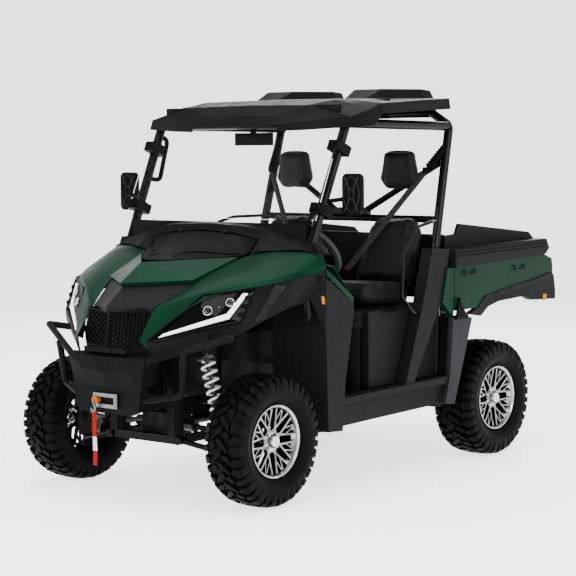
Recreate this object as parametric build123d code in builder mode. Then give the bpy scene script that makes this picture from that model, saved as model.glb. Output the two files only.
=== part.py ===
"""Side by side utility vehicle: two seats under a roll cage and roof, a tilting cargo bed,
four driven wheels on double control arms. Millimetres; +X forward, +Y to the vehicle's left,
+Z up, origin on the ground under the middle of the vehicle."""

from build123d import *
import os
from math import sqrt

# ---------------------------------------------------------------- driving dimensions
axle_front_x = 1033          # front axle, ahead of the origin
wheelbase = 1930
axle_rear_x = axle_front_x - wheelbase
wheel_r = 325                # over the lugs
rim_r = 177.5                # bead seat of a 14 inch rim
tyre_outer_y = 744           # outer face of every tyre, from the centre plane
front_tyre_w = 220
rear_tyre_w = 248
lug_h = 30                   # tread depth
tyre_sides = 32              # flats round a tyre's carcass
lug_pitches = 16             # lugs round each shoulder
kingpin_y = 590              # steering axis, from the centre plane
kingpin_half = 90            # kingpin ball joints above and below the axle
fit = 0.3                    # running clearance of pins, shafts and seats

hook_x = 1500                # foremost point, the winch hook
tail_x = -1500               # rearmost point, the cargo bed's corners
skin = 6                     # moulded panel thickness

rail_y = 200                 # frame rails, from the centre plane
rail_size = 40
rail_bottom_z = 280
rail_front_x = 1195
rail_rear_x = -1200
outrigger_size = 60
floor_z = rail_bottom_z + rail_size + outrigger_size
floor_t = 6
tower_z = 790                # top rails of the front and rear frame towers
tower_top_z = tower_z + 36
hitch_x = -1330
hitch_z = rail_bottom_z + 32
hitch_bore = 51

cage_r = 25                  # roll cage tube
cage_y = 620
pillar_base = (575, 606, floor_z)
pillar_knee = (575, 606, 620)
pillar_foot = (690, 622, 1137)
pillar_top = (370, 640, 1856)
hoop_foot = (-437, cage_y, floor_z)
hoop_knee = (-437, cage_y, 1190)
hoop_shoulder = (-605, 597, 1850)
hoop_top = (-622, 470, 1918)
hoop_bend = 60

seat_y = 372                 # seat centre planes
seat_base_half_y = 640
seat_base_front_x = 228
seat_base_rear_x = -420
seat_base_top_z = 884

bed_front_x = -470
bed_rear_x = -1462
bed_floor_z = 905
bed_floor_t = 20
bed_inner_y = 628
bed_wall_t = 16
bed_pivot = (-1150, 0, 850)
bed_pin_r = 12
gate_t = 26
gate_pin_z = 925

os.makedirs("parts", exist_ok=True)


# ---------------------------------------------------------------- shared shapes
def save(piece, name):
    """Labels a finished piece and writes its file."""
    piece.part.label = name
    export_step(piece.part, f"parts/{name}.step")


def block(x, y, z):
    """A box between pairs of x, y and z."""
    with BuildSketch(Plane.XY.offset(z[0])) as face:
        with Locations(((x[0] + x[1]) / 2, (y[0] + y[1]) / 2)):
            Rectangle(x[1] - x[0], y[1] - y[0])
    extrude(face.sketch, amount=z[1] - z[0])


def rod(start, end, radius, mode=Mode.ADD):
    """A straight round bar."""
    run = Vector(*end) - Vector(*start)
    with BuildSketch(Plane(origin=start, z_dir=run)) as face:
        Circle(radius)
    extrude(face.sketch, amount=run.length, mode=mode)


def bent_tube(points, radius, bend):
    """A round tube along straight runs with rounded corners."""
    with BuildLine() as path:
        FilletPolyline(*points, radius=bend)
    with BuildSketch(Plane(origin=path.line @ 0, z_dir=path.line % 0)) as face:
        Circle(radius)
    sweep(face.sketch, path=path.line)


def side_plate(outline, y, mode=Mode.ADD):
    """An upright plate whose outline is given in (x, z), between two values of y."""
    with BuildSketch(Plane.XZ.offset(-y[0])) as face:
        with BuildLine():
            Polyline(*outline, close=True)
        make_face()
    extrude(face.sketch, amount=y[0] - y[1], mode=mode)


def cross_plate(outline, x, mode=Mode.ADD):
    """A plate across the vehicle whose outline is given in (y, z), between two values of x."""
    with BuildSketch(Plane.YZ.offset(x[0])) as face:
        with BuildLine():
            Polyline(*outline, close=True)
        make_face()
    extrude(face.sketch, amount=x[1] - x[0], mode=mode)


def section_loft(sections, mode=Mode.ADD):
    """A loft with straight sides through (x, outline in (y, z)) sections."""
    faces = []
    for x, outline in sections:
        with BuildSketch(Plane.YZ.offset(x)) as face:
            with BuildLine():
                Polyline(*outline, close=True)
            make_face()
        faces.append(face.sketch)
    loft(faces, ruled=True, mode=mode)


def mirrored(point):
    return (point[0], -point[1], point[2])


def along(start, end, share):
    return tuple(a + (b - a) * share for a, b in zip(start, end))


# ---------------------------------------------------------------- wheels
lug_width = 38
lug_inner_y = 5
spoke_count = 10
spoke_t = 14
hub_r = 36
spindle_r = 22
disc_r = 115
disc_t = 6


def add_tyre(centre, width):
    """Flat-sided carcass with a lug block on each shoulder at every pitch, staggered."""
    half = width / 2
    # columns: share of the half width, radius over the flats
    stations = ((0.76, rim_r + 20), (0.97, 240), (0.88, wheel_r - lug_h))
    profile = [(-s * half, r) for s, r in stations] + [(s * half, r) for s, r in stations[::-1]]
    turn = 180 / tyre_sides
    rings = []
    for y, r in profile:
        with BuildSketch(Plane.XZ.offset(-(centre[1] + y))) as ring:
            with Locations((centre[0], centre[2])):
                RegularPolygon(r, tyre_sides, major_radius=False, rotation=turn)
        rings.append(ring.sketch)
    loft(rings, ruled=True)
    with BuildSketch(Plane.XZ.offset(-(centre[1] - half))) as bore:
        with Locations((centre[0], centre[2])):
            RegularPolygon(rim_r + fit, tyre_sides, major_radius=False, rotation=turn)
    extrude(bore.sketch, amount=-width, mode=Mode.SUBTRACT)
    root_z = centre[2] - wheel_r + lug_h + 26
    axle = Axis(centre, (0, 1, 0))
    lugs = []
    for side in (1, -1):
        with BuildPart(mode=Mode.PRIVATE) as lug:
            with BuildSketch(Plane.XY.offset(root_z)) as foot:
                with BuildLine():
                    Polyline(
                        (centre[0] - lug_width * 0.9, centre[1] + side * lug_inner_y),
                        (centre[0] + lug_width * 0.1, centre[1] + side * half),
                        (centre[0] + lug_width, centre[1] + side * half),
                        (centre[0], centre[1] + side * lug_inner_y), close=True,
                    )
                make_face()
            extrude(foot.sketch, amount=-(root_z - centre[2] + wheel_r))
        for i in range(lug_pitches):
            share = (i + (0.5 if side < 0 else 0)) / lug_pitches
            lugs.append(lug.part.rotate(axle, 360 * share))
    add(lugs)


def add_rim(centre, width):
    """Barrel with a flange at each bead, Y spokes, a bored hub and the brake disc."""
    half = width / 2
    bead = 0.76 * half + fit
    lip = half - 16
    x, y, z = centre
    with BuildSketch(Plane(origin=centre)) as barrel:
        with BuildLine():
            Polyline(
                (rim_r - 13, -lip + 12), (rim_r - 6, -lip), (rim_r + 16, -lip),
                (rim_r + 16, -bead), (rim_r, -bead), (rim_r, bead), (rim_r + 16, bead),
                (rim_r + 16, lip), (rim_r - 6, lip), (rim_r - 13, lip - 12), close=True,
            )
        make_face()
    revolve(barrel.sketch, axis=Axis(centre, (0, 1, 0)))
    face_y = y + lip - 22
    with BuildSketch(Plane.XZ.offset(-face_y)) as spokes:
        with Locations((x, z)):
            Circle(hub_r + 22)
            with PolarLocations(0, spoke_count):
                with Locations((80, 0)):
                    Rectangle(70, 15)
                for turn in (1, -1):
                    with Locations(Location((138, turn * 16), turn * 22)):
                        Rectangle(72, 11)
    extrude(spokes.sketch, amount=-spoke_t)
    hub_back = kingpin_y + hub_gap - y
    rod((x, y + hub_back, z), (x, face_y + spoke_t + 10, z), hub_r)
    rod((x, y + hub_back, z), (x, y + (hub_back + disc_t), z), disc_r)
    rod(
        (x, y + hub_back, z), (x, y + (hub_back + spindle_len + 1), z),
        spindle_r + fit, mode=Mode.SUBTRACT,
    )


hub_gap = 22                 # kingpin axis to the back of the hub
spindle_len = 40             # length of the spindle inside the hub
front_tyre_y = tyre_outer_y - front_tyre_w / 2
rear_tyre_y = tyre_outer_y - rear_tyre_w / 2
# columns: axle, its x, tyre centre y, tyre width
axles = (
    ("front", axle_front_x, front_tyre_y, front_tyre_w),
    ("rear", axle_rear_x, rear_tyre_y, rear_tyre_w),
)
for axle, axle_x, centre_y, width in axles:
    with BuildPart() as tyre:
        add_tyre((axle_x, centre_y, wheel_r), width)
    save(tyre, f"tyre_{axle}_left")
    with BuildPart() as tyre_mirrored:
        add(tyre.part.mirror(Plane.XZ))
    save(tyre_mirrored, f"tyre_{axle}_right")
    with BuildPart() as rim:
        add_rim((axle_x, centre_y, wheel_r), width)
    save(rim, f"rim_{axle}_left")
    with BuildPart() as rim_mirrored:
        add(rim.part.mirror(Plane.XZ))
    save(rim_mirrored, f"rim_{axle}_right")


# ---------------------------------------------------------------- knuckles and hub carriers
carrier_in = kingpin_y - 22
carrier_out = kingpin_y + 12
stud_r = 8
stud_len = 40
steer_arm_x = -112           # tie rod ball, behind the axle
steer_arm_z = -18


def add_carrier(axle_x):
    """Upright with a spindle, on the left side."""
    side_plate(
        (
            (axle_x - 30, wheel_r + kingpin_half), (axle_x + 30, wheel_r + kingpin_half),
            (axle_x + 48, wheel_r), (axle_x + 30, wheel_r - kingpin_half),
            (axle_x - 30, wheel_r - kingpin_half), (axle_x - 48, wheel_r),
        ),
        (carrier_in, carrier_out),
    )
    spindle_end = kingpin_y + hub_gap + spindle_len
    rod((axle_x, carrier_out, wheel_r), (axle_x, spindle_end, wheel_r), spindle_r)
    for up in (1, -1):
        root = wheel_r + up * kingpin_half
        rod((axle_x, kingpin_y, root), (axle_x, kingpin_y, root + up * stud_len), stud_r)


with BuildPart() as knuckle_left:
    add_carrier(axle_front_x)
    arm_end = (axle_front_x + steer_arm_x, kingpin_y - 26, wheel_r + steer_arm_z)
    arm_root = (axle_front_x - 40, kingpin_y - 5, wheel_r + steer_arm_z)
    rod(arm_root, arm_end, 10)
    rod(
        (arm_end[0], arm_end[1], arm_end[2] - 12), (arm_end[0], arm_end[1], arm_end[2] + 12), 16
    )
    rod(
        (axle_front_x + 36, carrier_in + 4, wheel_r + 44),
        (axle_front_x + 36, carrier_in + 4, wheel_r + 82), 18,
    )
save(knuckle_left, "knuckle_left")

with BuildPart() as knuckle_right:
    add(knuckle_left.part.mirror(Plane.XZ))
save(knuckle_right, "knuckle_right")

with BuildPart() as rear_hub_carriers:
    add_carrier(axle_rear_x)
    mirror(about=Plane.XZ)
save(rear_hub_carriers, "rear_hub_carriers")


# ---------------------------------------------------------------- chassis frame
rail_top_z = rail_bottom_z + rail_size
rail_in = rail_y - rail_size / 2
rail_out = rail_y + rail_size / 2
post_half = 18
# columns: x of each tower's posts
front_posts = (1165, 880)
rear_posts = (-700, -1085)
# columns: x of each outrigger
outriggers = (pillar_base[0], hoop_foot[0])
lower_pivot_z = rail_bottom_z + rail_size / 2
upper_pivot_z = 482          # control arm pivots on the frame
diff_z = 354                 # half shaft height at the differentials
shaft_z = diff_z - 10        # propeller shaft
tower_y = 318                # tower top rail ends, shock mounts
shock_front_x = axle_front_x + 62
shock_rear_x = axle_rear_x - 62
shock_top = (tower_y, 752)   # y and z of the upper shock eyes
with BuildPart() as frame:
    for s in (1, -1):
        y = sorted((s * rail_in, s * rail_out))
        block((rail_rear_x, rail_front_x), y, (rail_bottom_z, rail_top_z))
        for x in (*front_posts, *rear_posts):
            block((x - post_half, x + post_half), y, (rail_top_z, tower_z))
        for x0, x1 in ((outriggers[0], front_posts[0] + post_half), (bed_pivot[0] - 35, -560)):
            block((x0, x1), y, (tower_z, tower_top_z))
        block((bed_front_x - 130, bed_front_x - 90), y, (tower_top_z, bed_floor_z - 0.4))
        for pair in (front_posts, rear_posts):
            block(
                (min(pair) - post_half, max(pair) + post_half), y,
                (upper_pivot_z - 20, upper_pivot_z + 20),
            )
    for x in outriggers:
        block(
            (x - outrigger_size / 2, x + outrigger_size / 2), (-645, 645),
            (rail_top_z, rail_top_z + outrigger_size),
        )
    for x in (shock_front_x, shock_rear_x):
        block((x - 20, x + 20), (-tower_y, tower_y), (tower_z, tower_top_z))
        for s in (1, -1):
            y = sorted((s * (tower_y - 24), s * (tower_y - 16)))
            y2 = sorted((s * (tower_y + 16), s * (tower_y + 24)))
            block((x - 20, x + 20), y, (shock_top[1] - 18, tower_z))
            block((x - 20, x + 20), y2, (shock_top[1] - 18, tower_top_z))
            rod((x, s * (tower_y - 24), shock_top[1]), (x, s * (tower_y + 24), shock_top[1]), 8)
    for x in (rail_front_x - 20, 300, -250, rail_rear_x + 60):
        block((x - 20, x + 20), (-rail_in, rail_in), (rail_bottom_z, rail_top_z))
        plate_y = sorted((s * (rail_y - 14), s * (rail_y - 2)))
        block((bed_pivot[0] - 26, bed_pivot[0] + 26), plate_y, (tower_top_z, bed_pivot[2] + 22))
        rod(
            (bed_pivot[0], s * (rail_y - 15), bed_pivot[2]), (bed_pivot[0], s * rail_y, bed_pivot[2]),
            bed_pin_r + fit, mode=Mode.SUBTRACT,
        )
    block((hitch_x, rail_rear_x + 40), (-32, 32), (hitch_z - 32, hitch_z + 32))
    with BuildSketch(Plane.YZ.offset(hitch_x)):
        with Locations((0, hitch_z)):
            Rectangle(hitch_bore, hitch_bore)
    extrude(amount=150, mode=Mode.SUBTRACT)
    rod((hitch_x + 60, -33, hitch_z), (hitch_x + 60, 33, hitch_z), 8, mode=Mode.SUBTRACT)
    rod((rail_rear_x, 0, shaft_z), (rail_front_x, 0, shaft_z), 28, mode=Mode.SUBTRACT)
save(frame, "frame")


# ---------------------------------------------------------------- roll cage
header_z = pillar_top[2]
brace_low = (-492, 96, 1372)
brace_high = along(hoop_knee, hoop_shoulder, 0.72)
waist_z = 1338
waist_x = along(hoop_knee, hoop_shoulder, (waist_z - hoop_knee[2]) / 660)[0]
with BuildPart() as roll_cage:
    for s in (1, -1):
        legs = [(x, s * y, z) for x, y, z in (hoop_foot, hoop_knee, hoop_shoulder, hoop_top)]
        bent_tube(legs, cage_r, hoop_bend)
        legs = [(x, s * y, z) for x, y, z in (pillar_base, pillar_knee, pillar_foot, pillar_top)]
        bent_tube(legs, cage_r, hoop_bend)
        rod(
            (pillar_top[0], s * pillar_top[1], header_z),
            (hoop_shoulder[0], s * (hoop_shoulder[1] - 6), header_z - 12), cage_r,
        )
        rod(
            (brace_low[0], s * brace_low[1], brace_low[2]),
            (brace_high[0] - 4, s * brace_high[1], brace_high[2]), 18,
        )
    rod((hoop_top[0], -hoop_top[1], hoop_top[2]), (hoop_top[0], hoop_top[1], hoop_top[2]), cage_r)
    rod(
        (pillar_top[0], -pillar_top[1], header_z), (pillar_top[0], pillar_top[1], header_z), cage_r
    )
    rod((waist_x, -cage_y + 6, waist_z), (waist_x, cage_y - 6, waist_z), 20)
    block((brace_low[0] - 20, brace_low[0] + 20), (-130, 130), (waist_z, brace_low[2] + 22))
save(roll_cage, "roll_cage")


# ---------------------------------------------------------------- engine and drive line
engine_x = (-640, -190)
engine_y = (-170, 170)
engine_z = (floor_z, 800)
with BuildPart() as engine:
    block(engine_x, engine_y, engine_z)
save(engine, "engine")

diff_half_y = 90
shaft_r = 14
boot_r = 28
turning_room = 48            # from a kingpin to the end of the front shaft's boot
with BuildPart() as drivetrain:
    block((axle_front_x - 85, axle_front_x + 85), (-diff_half_y, diff_half_y), (diff_z - 60, diff_z + 60))
    rod((axle_front_x, -diff_half_y - 20, diff_z), (axle_front_x, diff_half_y + 20, diff_z), 45)
    block((axle_rear_x - 95, axle_rear_x + 110), (-100, 100), (diff_z - 60, diff_z + 88))
    rod((axle_rear_x, -diff_half_y - 20, diff_z), (axle_rear_x, diff_half_y + 20, diff_z), 45)
    rod((axle_rear_x + 110, 0, shaft_z), (axle_front_x - 85, 0, shaft_z), 20)
save(drivetrain, "drivetrain")

with BuildPart() as half_shafts:
    for axle_x, outer_y in ((axle_front_x, kingpin_y - turning_room), (axle_rear_x, carrier_in - 10)):
        inner = (axle_x, diff_half_y + 22, diff_z)
        outer = (axle_x, outer_y, wheel_r + 2)
        rod(inner, outer, shaft_r)
        rod(inner, along(inner, outer, 0.2), boot_r)
        rod(along(inner, outer, 0.84), outer, boot_r)
    mirror(about=Plane.XZ)
save(half_shafts, "half_shafts")


# ---------------------------------------------------------------- suspension
arm_r = 14
eye_r = 17
pivot_y = rail_out + 22
lower_ball_z = wheel_r - kingpin_half - 24
upper_ball_z = wheel_r + kingpin_half + 24


def add_arms(axle_x, lower_legs, upper_legs):
    """Lower and upper control arms on the left, from the frame to the ball joints."""
    for ball_z, pivot_z, legs in (
        (lower_ball_z, lower_pivot_z, lower_legs), (upper_ball_z, upper_pivot_z, upper_legs),
    ):
        ball = (axle_x, kingpin_y, ball_z)
        for leg in legs:
            foot = (axle_x + leg, pivot_y, pivot_z)
            rod(foot, along(foot, ball, 0.965), arm_r)
            rod((foot[0] - 26, foot[1], foot[2]), (foot[0] + 26, foot[1], foot[2]), eye_r)
            block(
                (foot[0] - 22, foot[0] + 22), (rail_out, rail_out + 10),
                (foot[2] - 20, foot[2] + 20),
            )
        rod((axle_x, kingpin_y, ball_z - 13), (axle_x, kingpin_y, ball_z + 13), eye_r)
        rod(
            (axle_x, kingpin_y, ball_z - 14), (axle_x, kingpin_y, ball_z + 14), stud_r + fit,
            mode=Mode.SUBTRACT,
        )


with BuildPart() as front_control_arms:
    add_arms(axle_front_x, (-150, 150), (-148, -25))
    mirror(about=Plane.XZ)
save(front_control_arms, "front_control_arms")

with BuildPart() as rear_control_arms:
    add_arms(axle_rear_x, (150, -150), (148, 25))
    mirror(about=Plane.XZ)
save(rear_control_arms, "rear_control_arms")

shock_foot_y = 452
shock_eye_r = 19
damper_r = 21
coil_r = 40
wire_r = 6
coil_turns = 8


def shock_points(x):
    """Upper and lower eyes of the left shock at x."""
    slope = (lower_ball_z - lower_pivot_z) / (kingpin_y - pivot_y)
    arm_z = lower_pivot_z + slope * (shock_foot_y - pivot_y)
    rise = (arm_r + shock_eye_r) * sqrt(1 + slope * slope) + fit
    return (x, shock_top[0], shock_top[1]), (x, shock_foot_y, arm_z + rise)


with BuildPart() as shocks:
    for x in (shock_front_x, shock_rear_x):
        top, foot = shock_points(x)
        rod(along(top, foot, 0.02), along(top, foot, 0.5), 11)
        rod(along(top, foot, 0.5), along(top, foot, 0.98), damper_r)
        rod(along(top, foot, 0.075), along(top, foot, 0.105), coil_r + 6)
        rod(along(top, foot, 0.80), along(top, foot, 0.83), coil_r + 6)
        rod((x, top[1] - 15.7, top[2]), (x, top[1] + 15.7, top[2]), shock_eye_r)
        rod((x - 15, foot[1], foot[2]), (x + 15, foot[1], foot[2]), shock_eye_r)
        rod((x, top[1] - 16, top[2]), (x, top[1] + 16, top[2]), 8 + fit, mode=Mode.SUBTRACT)
    mirror(about=Plane.XZ)
save(shocks, "shocks")

with BuildPart() as coil_springs:
    for x in (shock_front_x, shock_rear_x):
        top, foot = shock_points(x)
        start = along(top, foot, 0.1180)
        run = (Vector(*foot) - Vector(*top)) * (0.7870 - 0.1180)
        with BuildLine() as wire:
            Helix(run.length / coil_turns, run.length, coil_r - wire_r, center=start, direction=run)
        with BuildSketch(Plane(origin=wire.line @ 0, z_dir=wire.line % 0)):
            Circle(wire_r)
        sweep(path=wire.line)
    mirror(about=Plane.XZ)
save(coil_springs, "coil_springs")


# ---------------------------------------------------------------- front body
def facet_panel(corners, facets, wall=0, shift=None):
    """A closed panel of flat facets between named corners, each listed anticlockwise from outside.

    Its inner side lies one wall inwards from the outer, or is the outer moved by a fixed shift.
    """
    outer = {name: Vector(*point) for name, point in corners.items()}
    inwards = {name: Vector(0, 0, 0) for name in facets.replace(",", " ").split()}
    triangles = []
    for facet in facets.split(","):
        names = facet.split()
        triangles += [(names[0], names[i], names[i + 1]) for i in range(1, len(names) - 1)]
    for a, b, c in triangles:
        normal = (outer[b] - outer[a]).cross(outer[c] - outer[a]).normalized()
        for name in (a, b, c):
            inwards[name] -= normal
    inner = {name: outer[name] + push.normalized() * wall for name, push in inwards.items()}
    if shift:
        inner = {name: outer[name] + Vector(*shift) for name in inwards}
    sides = [edge for a, b, c in triangles for edge in ((a, b), (b, c), (c, a))]
    faces = []
    for a, b, c in triangles:
        faces.append(Face(Wire.make_polygon((outer[a], outer[b], outer[c]))))
        faces.append(Face(Wire.make_polygon((inner[a], inner[c], inner[b]))))
    for a, b in sides:
        if (b, a) not in sides:
            faces.append(Face(Wire.make_polygon((outer[b], outer[a], inner[a]))))
            faces.append(Face(Wire.make_polygon((outer[b], inner[a], inner[b]))))
    add(Solid(Shell(faces)))


def cut_at_centre():
    """Takes off what reaches past the centre line, before the other half is mirrored."""
    with BuildSketch(Plane.XZ) as side:
        Rectangle(4000, 4000)
    extrude(side.sketch, amount=400, mode=Mode.SUBTRACT)


lamp_start = (1430, 240, 812)        # front end of the lamp, where the nose turns
lamp_top = (1208, 410, 1033)
lamp_top_rear = (1054, 628, 1064)
lamp_low_rear = (1149, 609, 903)
lamp_low_front = (1403, 282, 814)
lamp_plane = Plane(origin=lamp_start, x_dir=(-222, 170, 221), z_dir=(0.774, 0.492, 0.398))
lamp_depth = 42
lamp_recess = 12
lamp_border = 9
projectors = (((1220, 453, 957), 24), ((1149, 534, 996), 22))


def on_lamp(point):
    """A point of the lamp's face in the face's own plane."""
    local = lamp_plane.to_local_coords(Vector(*point))
    return (local.X, local.Y)


lamp_corners = [on_lamp(p) for p in (lamp_start, lamp_top, lamp_top_rear, lamp_low_rear, lamp_low_front)]
with BuildPart() as headlamps:
    with BuildSketch(lamp_plane):
        with BuildLine():
            Polyline(*lamp_corners, close=True)
        make_face()
    extrude(amount=-lamp_depth)
    with BuildSketch(lamp_plane):
        with BuildLine():
            Polyline(*lamp_corners, close=True)
        make_face()
        offset(amount=-lamp_border, kind=Kind.INTERSECTION, mode=Mode.REPLACE)
    extrude(amount=-lamp_recess, mode=Mode.SUBTRACT)
    for centre, projector_r in projectors:
        with BuildSketch(lamp_plane.offset(-lamp_recess - 2)):
            with Locations(on_lamp(centre)):
                Circle(projector_r)
        extrude(amount=8)
    mirror(about=Plane.XZ)
save(headlamps, "headlamps")

fender_wall = 6
fender_corners = {
    "tip": (1388, 255, 734), "start": lamp_start, "knee": (1447, 215, 815), "top": (1338, 206, 961),
    "fold1": (1336, 236, 961), "fold2": (1199, 398, 1051), "fold3": (1047, 612, 1083),
    "fold4": (845, 702, 1130), "fold5": (650, 729, 1160),
    "lip2": (1209, 411, 1034), "lip3": (1054, 630, 1065), "lip4": (860, 713, 1100), "lip5": (655, 733, 1134),
    "in2": (1137, 292, 1077), "in3": (1000, 316, 1131), "in4": (856, 341, 1188), "in5": (785, 343, 1196),
    "in6": (798, 415, 1216), "in7": (722, 616, 1228), "in8": (684, 704, 1204), "in9": (650, 706, 1200),
    "crown2": (1150, 392, 1086), "crown3": (1000, 500, 1142), "crown4": (857, 575, 1198),
}
with BuildPart() as front_fenders:
    facet_panel(
        fender_corners,
        "tip start knee, knee start fold1 top, start lip2 fold2 fold1, lip2 lip3 fold3 fold2,"
        "lip3 lip4 fold4 fold3, lip4 lip5 fold5 fold4, top fold1 fold2, top fold2 crown2, top crown2 in2,"
        "crown2 fold2 fold3, crown2 fold3 crown3, in2 crown2 crown3, in2 crown3 in3,"
        "crown3 fold3 fold4, crown3 fold4 crown4, in3 crown3 crown4, in3 crown4 in4,"
        "in4 crown4 in6, in4 in6 in5, crown4 in7 in6, crown4 fold4 in7, fold4 fold5 in8, fold4 in8 in7,"
        "fold5 in9 in8",
        fender_wall,
    )
    section_loft(
        [
            (x, ((y, z), (y + 7, z - 4), (y + 7, z - 34), (y - 1, z - 34)))
            for x, y, z in ((656, 728, 1140), (600, 733, 1100), (430, 722, 985))
        ]
    )
    section_loft(
        [
            (x, ((y0, z + 6), (y1, z), (y1, z - skin), (y0, z)))
            for x, y0, y1, z in ((656, 650, 732, 1160), (600, 690, 737, 1146), (430, 700, 726, 982))
        ]
    )
    add(roll_cage.part, mode=Mode.SUBTRACT)
    add(headlamps.part, mode=Mode.SUBTRACT)
    mirror(about=Plane.XZ)
save(front_fenders, "front_fenders")

# the bonnet's green V, raised over the dark beak in front of it
hood_corners = {
    "tip": (1354, 0, 1078), "corner": (1142, 284, 1092), "rear": (859, 333, 1192), "notch": (1207, 0, 1174),
}
hood_lip = (-12, 0, -16)             # the V's lower edge from its upper one
with BuildPart() as hood_centre:
    facet_panel(hood_corners, "tip corner notch, corner rear notch", shift=hood_lip)
    add(front_fenders.part, mode=Mode.SUBTRACT)
    mirror(about=Plane.XZ)
save(hood_centre, "hood_centre")

beak_wall = 8
beak_corners = {
    "top": (1339, 0, 1058), "brow": (1447, 0, 972), "low": (1449, 0, 946),
    "side": (1336, 202, 962), "side_low": (1338, 202, 940), "corner": (1132, 284, 1072),
}
with BuildPart() as front_beak:
    facet_panel(beak_corners, "top brow side, top side corner, brow low side_low side", beak_wall)
    add(front_fenders.part, mode=Mode.SUBTRACT)
    add(hood_centre.part, mode=Mode.SUBTRACT)
    cut_at_centre()
    mirror(about=Plane.XZ)
save(front_beak, "front_beak")

lid_corners = {
    "nose": (1197, 0, 1178), "mid1": (1000, 0, 1216), "mid2": (847, 0, 1264), "mid3": (785, 0, 1294),
    "mid4": (743, 0, 1312), "edge1": (1000, 188, 1189), "out1": (847, 334, 1197), "out2": (785, 335, 1201),
    "out3": (743, 357, 1272), "half2": (847, 190, 1247), "half3": (785, 200, 1282), "half4": (743, 200, 1301),
}
hinge_x = 739
hinge_z = 1313
hinge_y = 150                # middle of each hinge
barrel_r = 8
pin_r = 4
barrel_half = 10             # half length of the lid's barrel
ear_w = 11
with BuildPart() as hood_lid:
    facet_panel(
        lid_corners,
        "nose edge1 mid1, mid1 edge1 half2 mid2, edge1 out1 half2, mid2 half2 half3 mid3,"
        "half2 out1 out2 half3, mid3 half3 half4 mid4, half3 out2 out3 half4",
        skin,
    )
    cut_at_centre()
    for y in (hinge_y - barrel_half - ear_w - 1, hinge_y + barrel_half + 1):
        with BuildSketch(Plane.XY.offset(hinge_z - 40)):
            with Locations((hinge_x + 8, y + ear_w / 2)):
                Rectangle(12, ear_w + 4)
        extrude(amount=60, mode=Mode.SUBTRACT)
    rod((hinge_x, hinge_y - barrel_half, hinge_z), (hinge_x, hinge_y + barrel_half, hinge_z), barrel_r)
    barrel_y = (hinge_y - barrel_half, hinge_y + barrel_half)
    block((hinge_x, hinge_x + 16), barrel_y, (hinge_z - 12, hinge_z - 1))
    rod(
        (hinge_x, hinge_y - barrel_half - 1, hinge_z), (hinge_x, hinge_y + barrel_half + 1, hinge_z),
        pin_r + fit, mode=Mode.SUBTRACT,
    )
    mirror(about=Plane.XZ)
save(hood_lid, "hood_lid")

cowl_corners = {
    "seam0": (736, 0, 1318), "seam1": (736, 200, 1307), "seam2": (736, 368, 1277),
    "peak0": (715, 0, 1349), "peak1": (712, 260, 1337), "peak2": (706, 400, 1311), "peak3": (702, 590, 1252),
    "rear0": (650, 0, 1354), "rear1": (650, 260, 1346), "rear2": (650, 400, 1328), "rear3": (650, 612, 1262),
    "rear4": (650, 706, 1214), "low1": (783, 344, 1202), "low2": (796, 416, 1222), "low3": (720, 617, 1234),
    "low4": (683, 704, 1210),
}
with BuildPart() as dash_cowl:
    facet_panel(
        cowl_corners,
        "seam0 seam1 peak1 peak0, seam1 seam2 peak2 peak1, peak0 peak1 rear1 rear0, peak1 peak2 rear2 rear1,"
        "peak2 peak3 rear3 rear2, seam2 low1 low2, seam2 low2 peak2, low2 low3 peak3, low2 peak3 peak2,"
        "peak3 low3 rear3, low3 low4 rear4 rear3",
        skin,
    )
    cut_at_centre()
    with BuildSketch(Plane.XY.offset(hinge_z - 40)):
        with Locations((hinge_x - 8, hinge_y)):
            Rectangle(14, 2 * barrel_half + 2)
    extrude(amount=80, mode=Mode.SUBTRACT)
    for y in (hinge_y - barrel_half - ear_w - 0.5, hinge_y + barrel_half + 0.5):
        rod((hinge_x, y, hinge_z), (hinge_x, y + ear_w, hinge_z), barrel_r)
        block((hinge_x - 14, hinge_x), (y, y + ear_w), (hinge_z - 8, hinge_z + 1))
    rod(
        (hinge_x, hinge_y - barrel_half - ear_w, hinge_z),
        (hinge_x, hinge_y + barrel_half + ear_w, hinge_z), pin_r,
    )
    side_plate(((650, 1354), (560, 1332), (520, 1270), (505, 1150), (540, 1080), (650, 1060)), (0, 600))
    side_plate(
        ((640, 1320), (568, 1302), (530, 1255), (520, 1150), (548, 1092), (640, 1074)), (-1, 594),
        mode=Mode.SUBTRACT,
    )
    side_plate(((650, 1354), (640, 1352), (640, 1318), (650, 1060)), (0, 5))
    section_loft(
        [
            (x, ((y - 46, z0), (y - 46, z1), (y + 46, z1), (y + 70, z0)))
            for x, y, z0, z1 in ((668, 623, 1205, 1262), (618, 623, 1205, 1262), (560, 615, 1200, 1230))
        ]
    )
    add(roll_cage.part, mode=Mode.SUBTRACT)
    add(front_fenders.part, mode=Mode.SUBTRACT)
    mirror(about=Plane.XZ)
save(dash_cowl, "dash_cowl")

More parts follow.
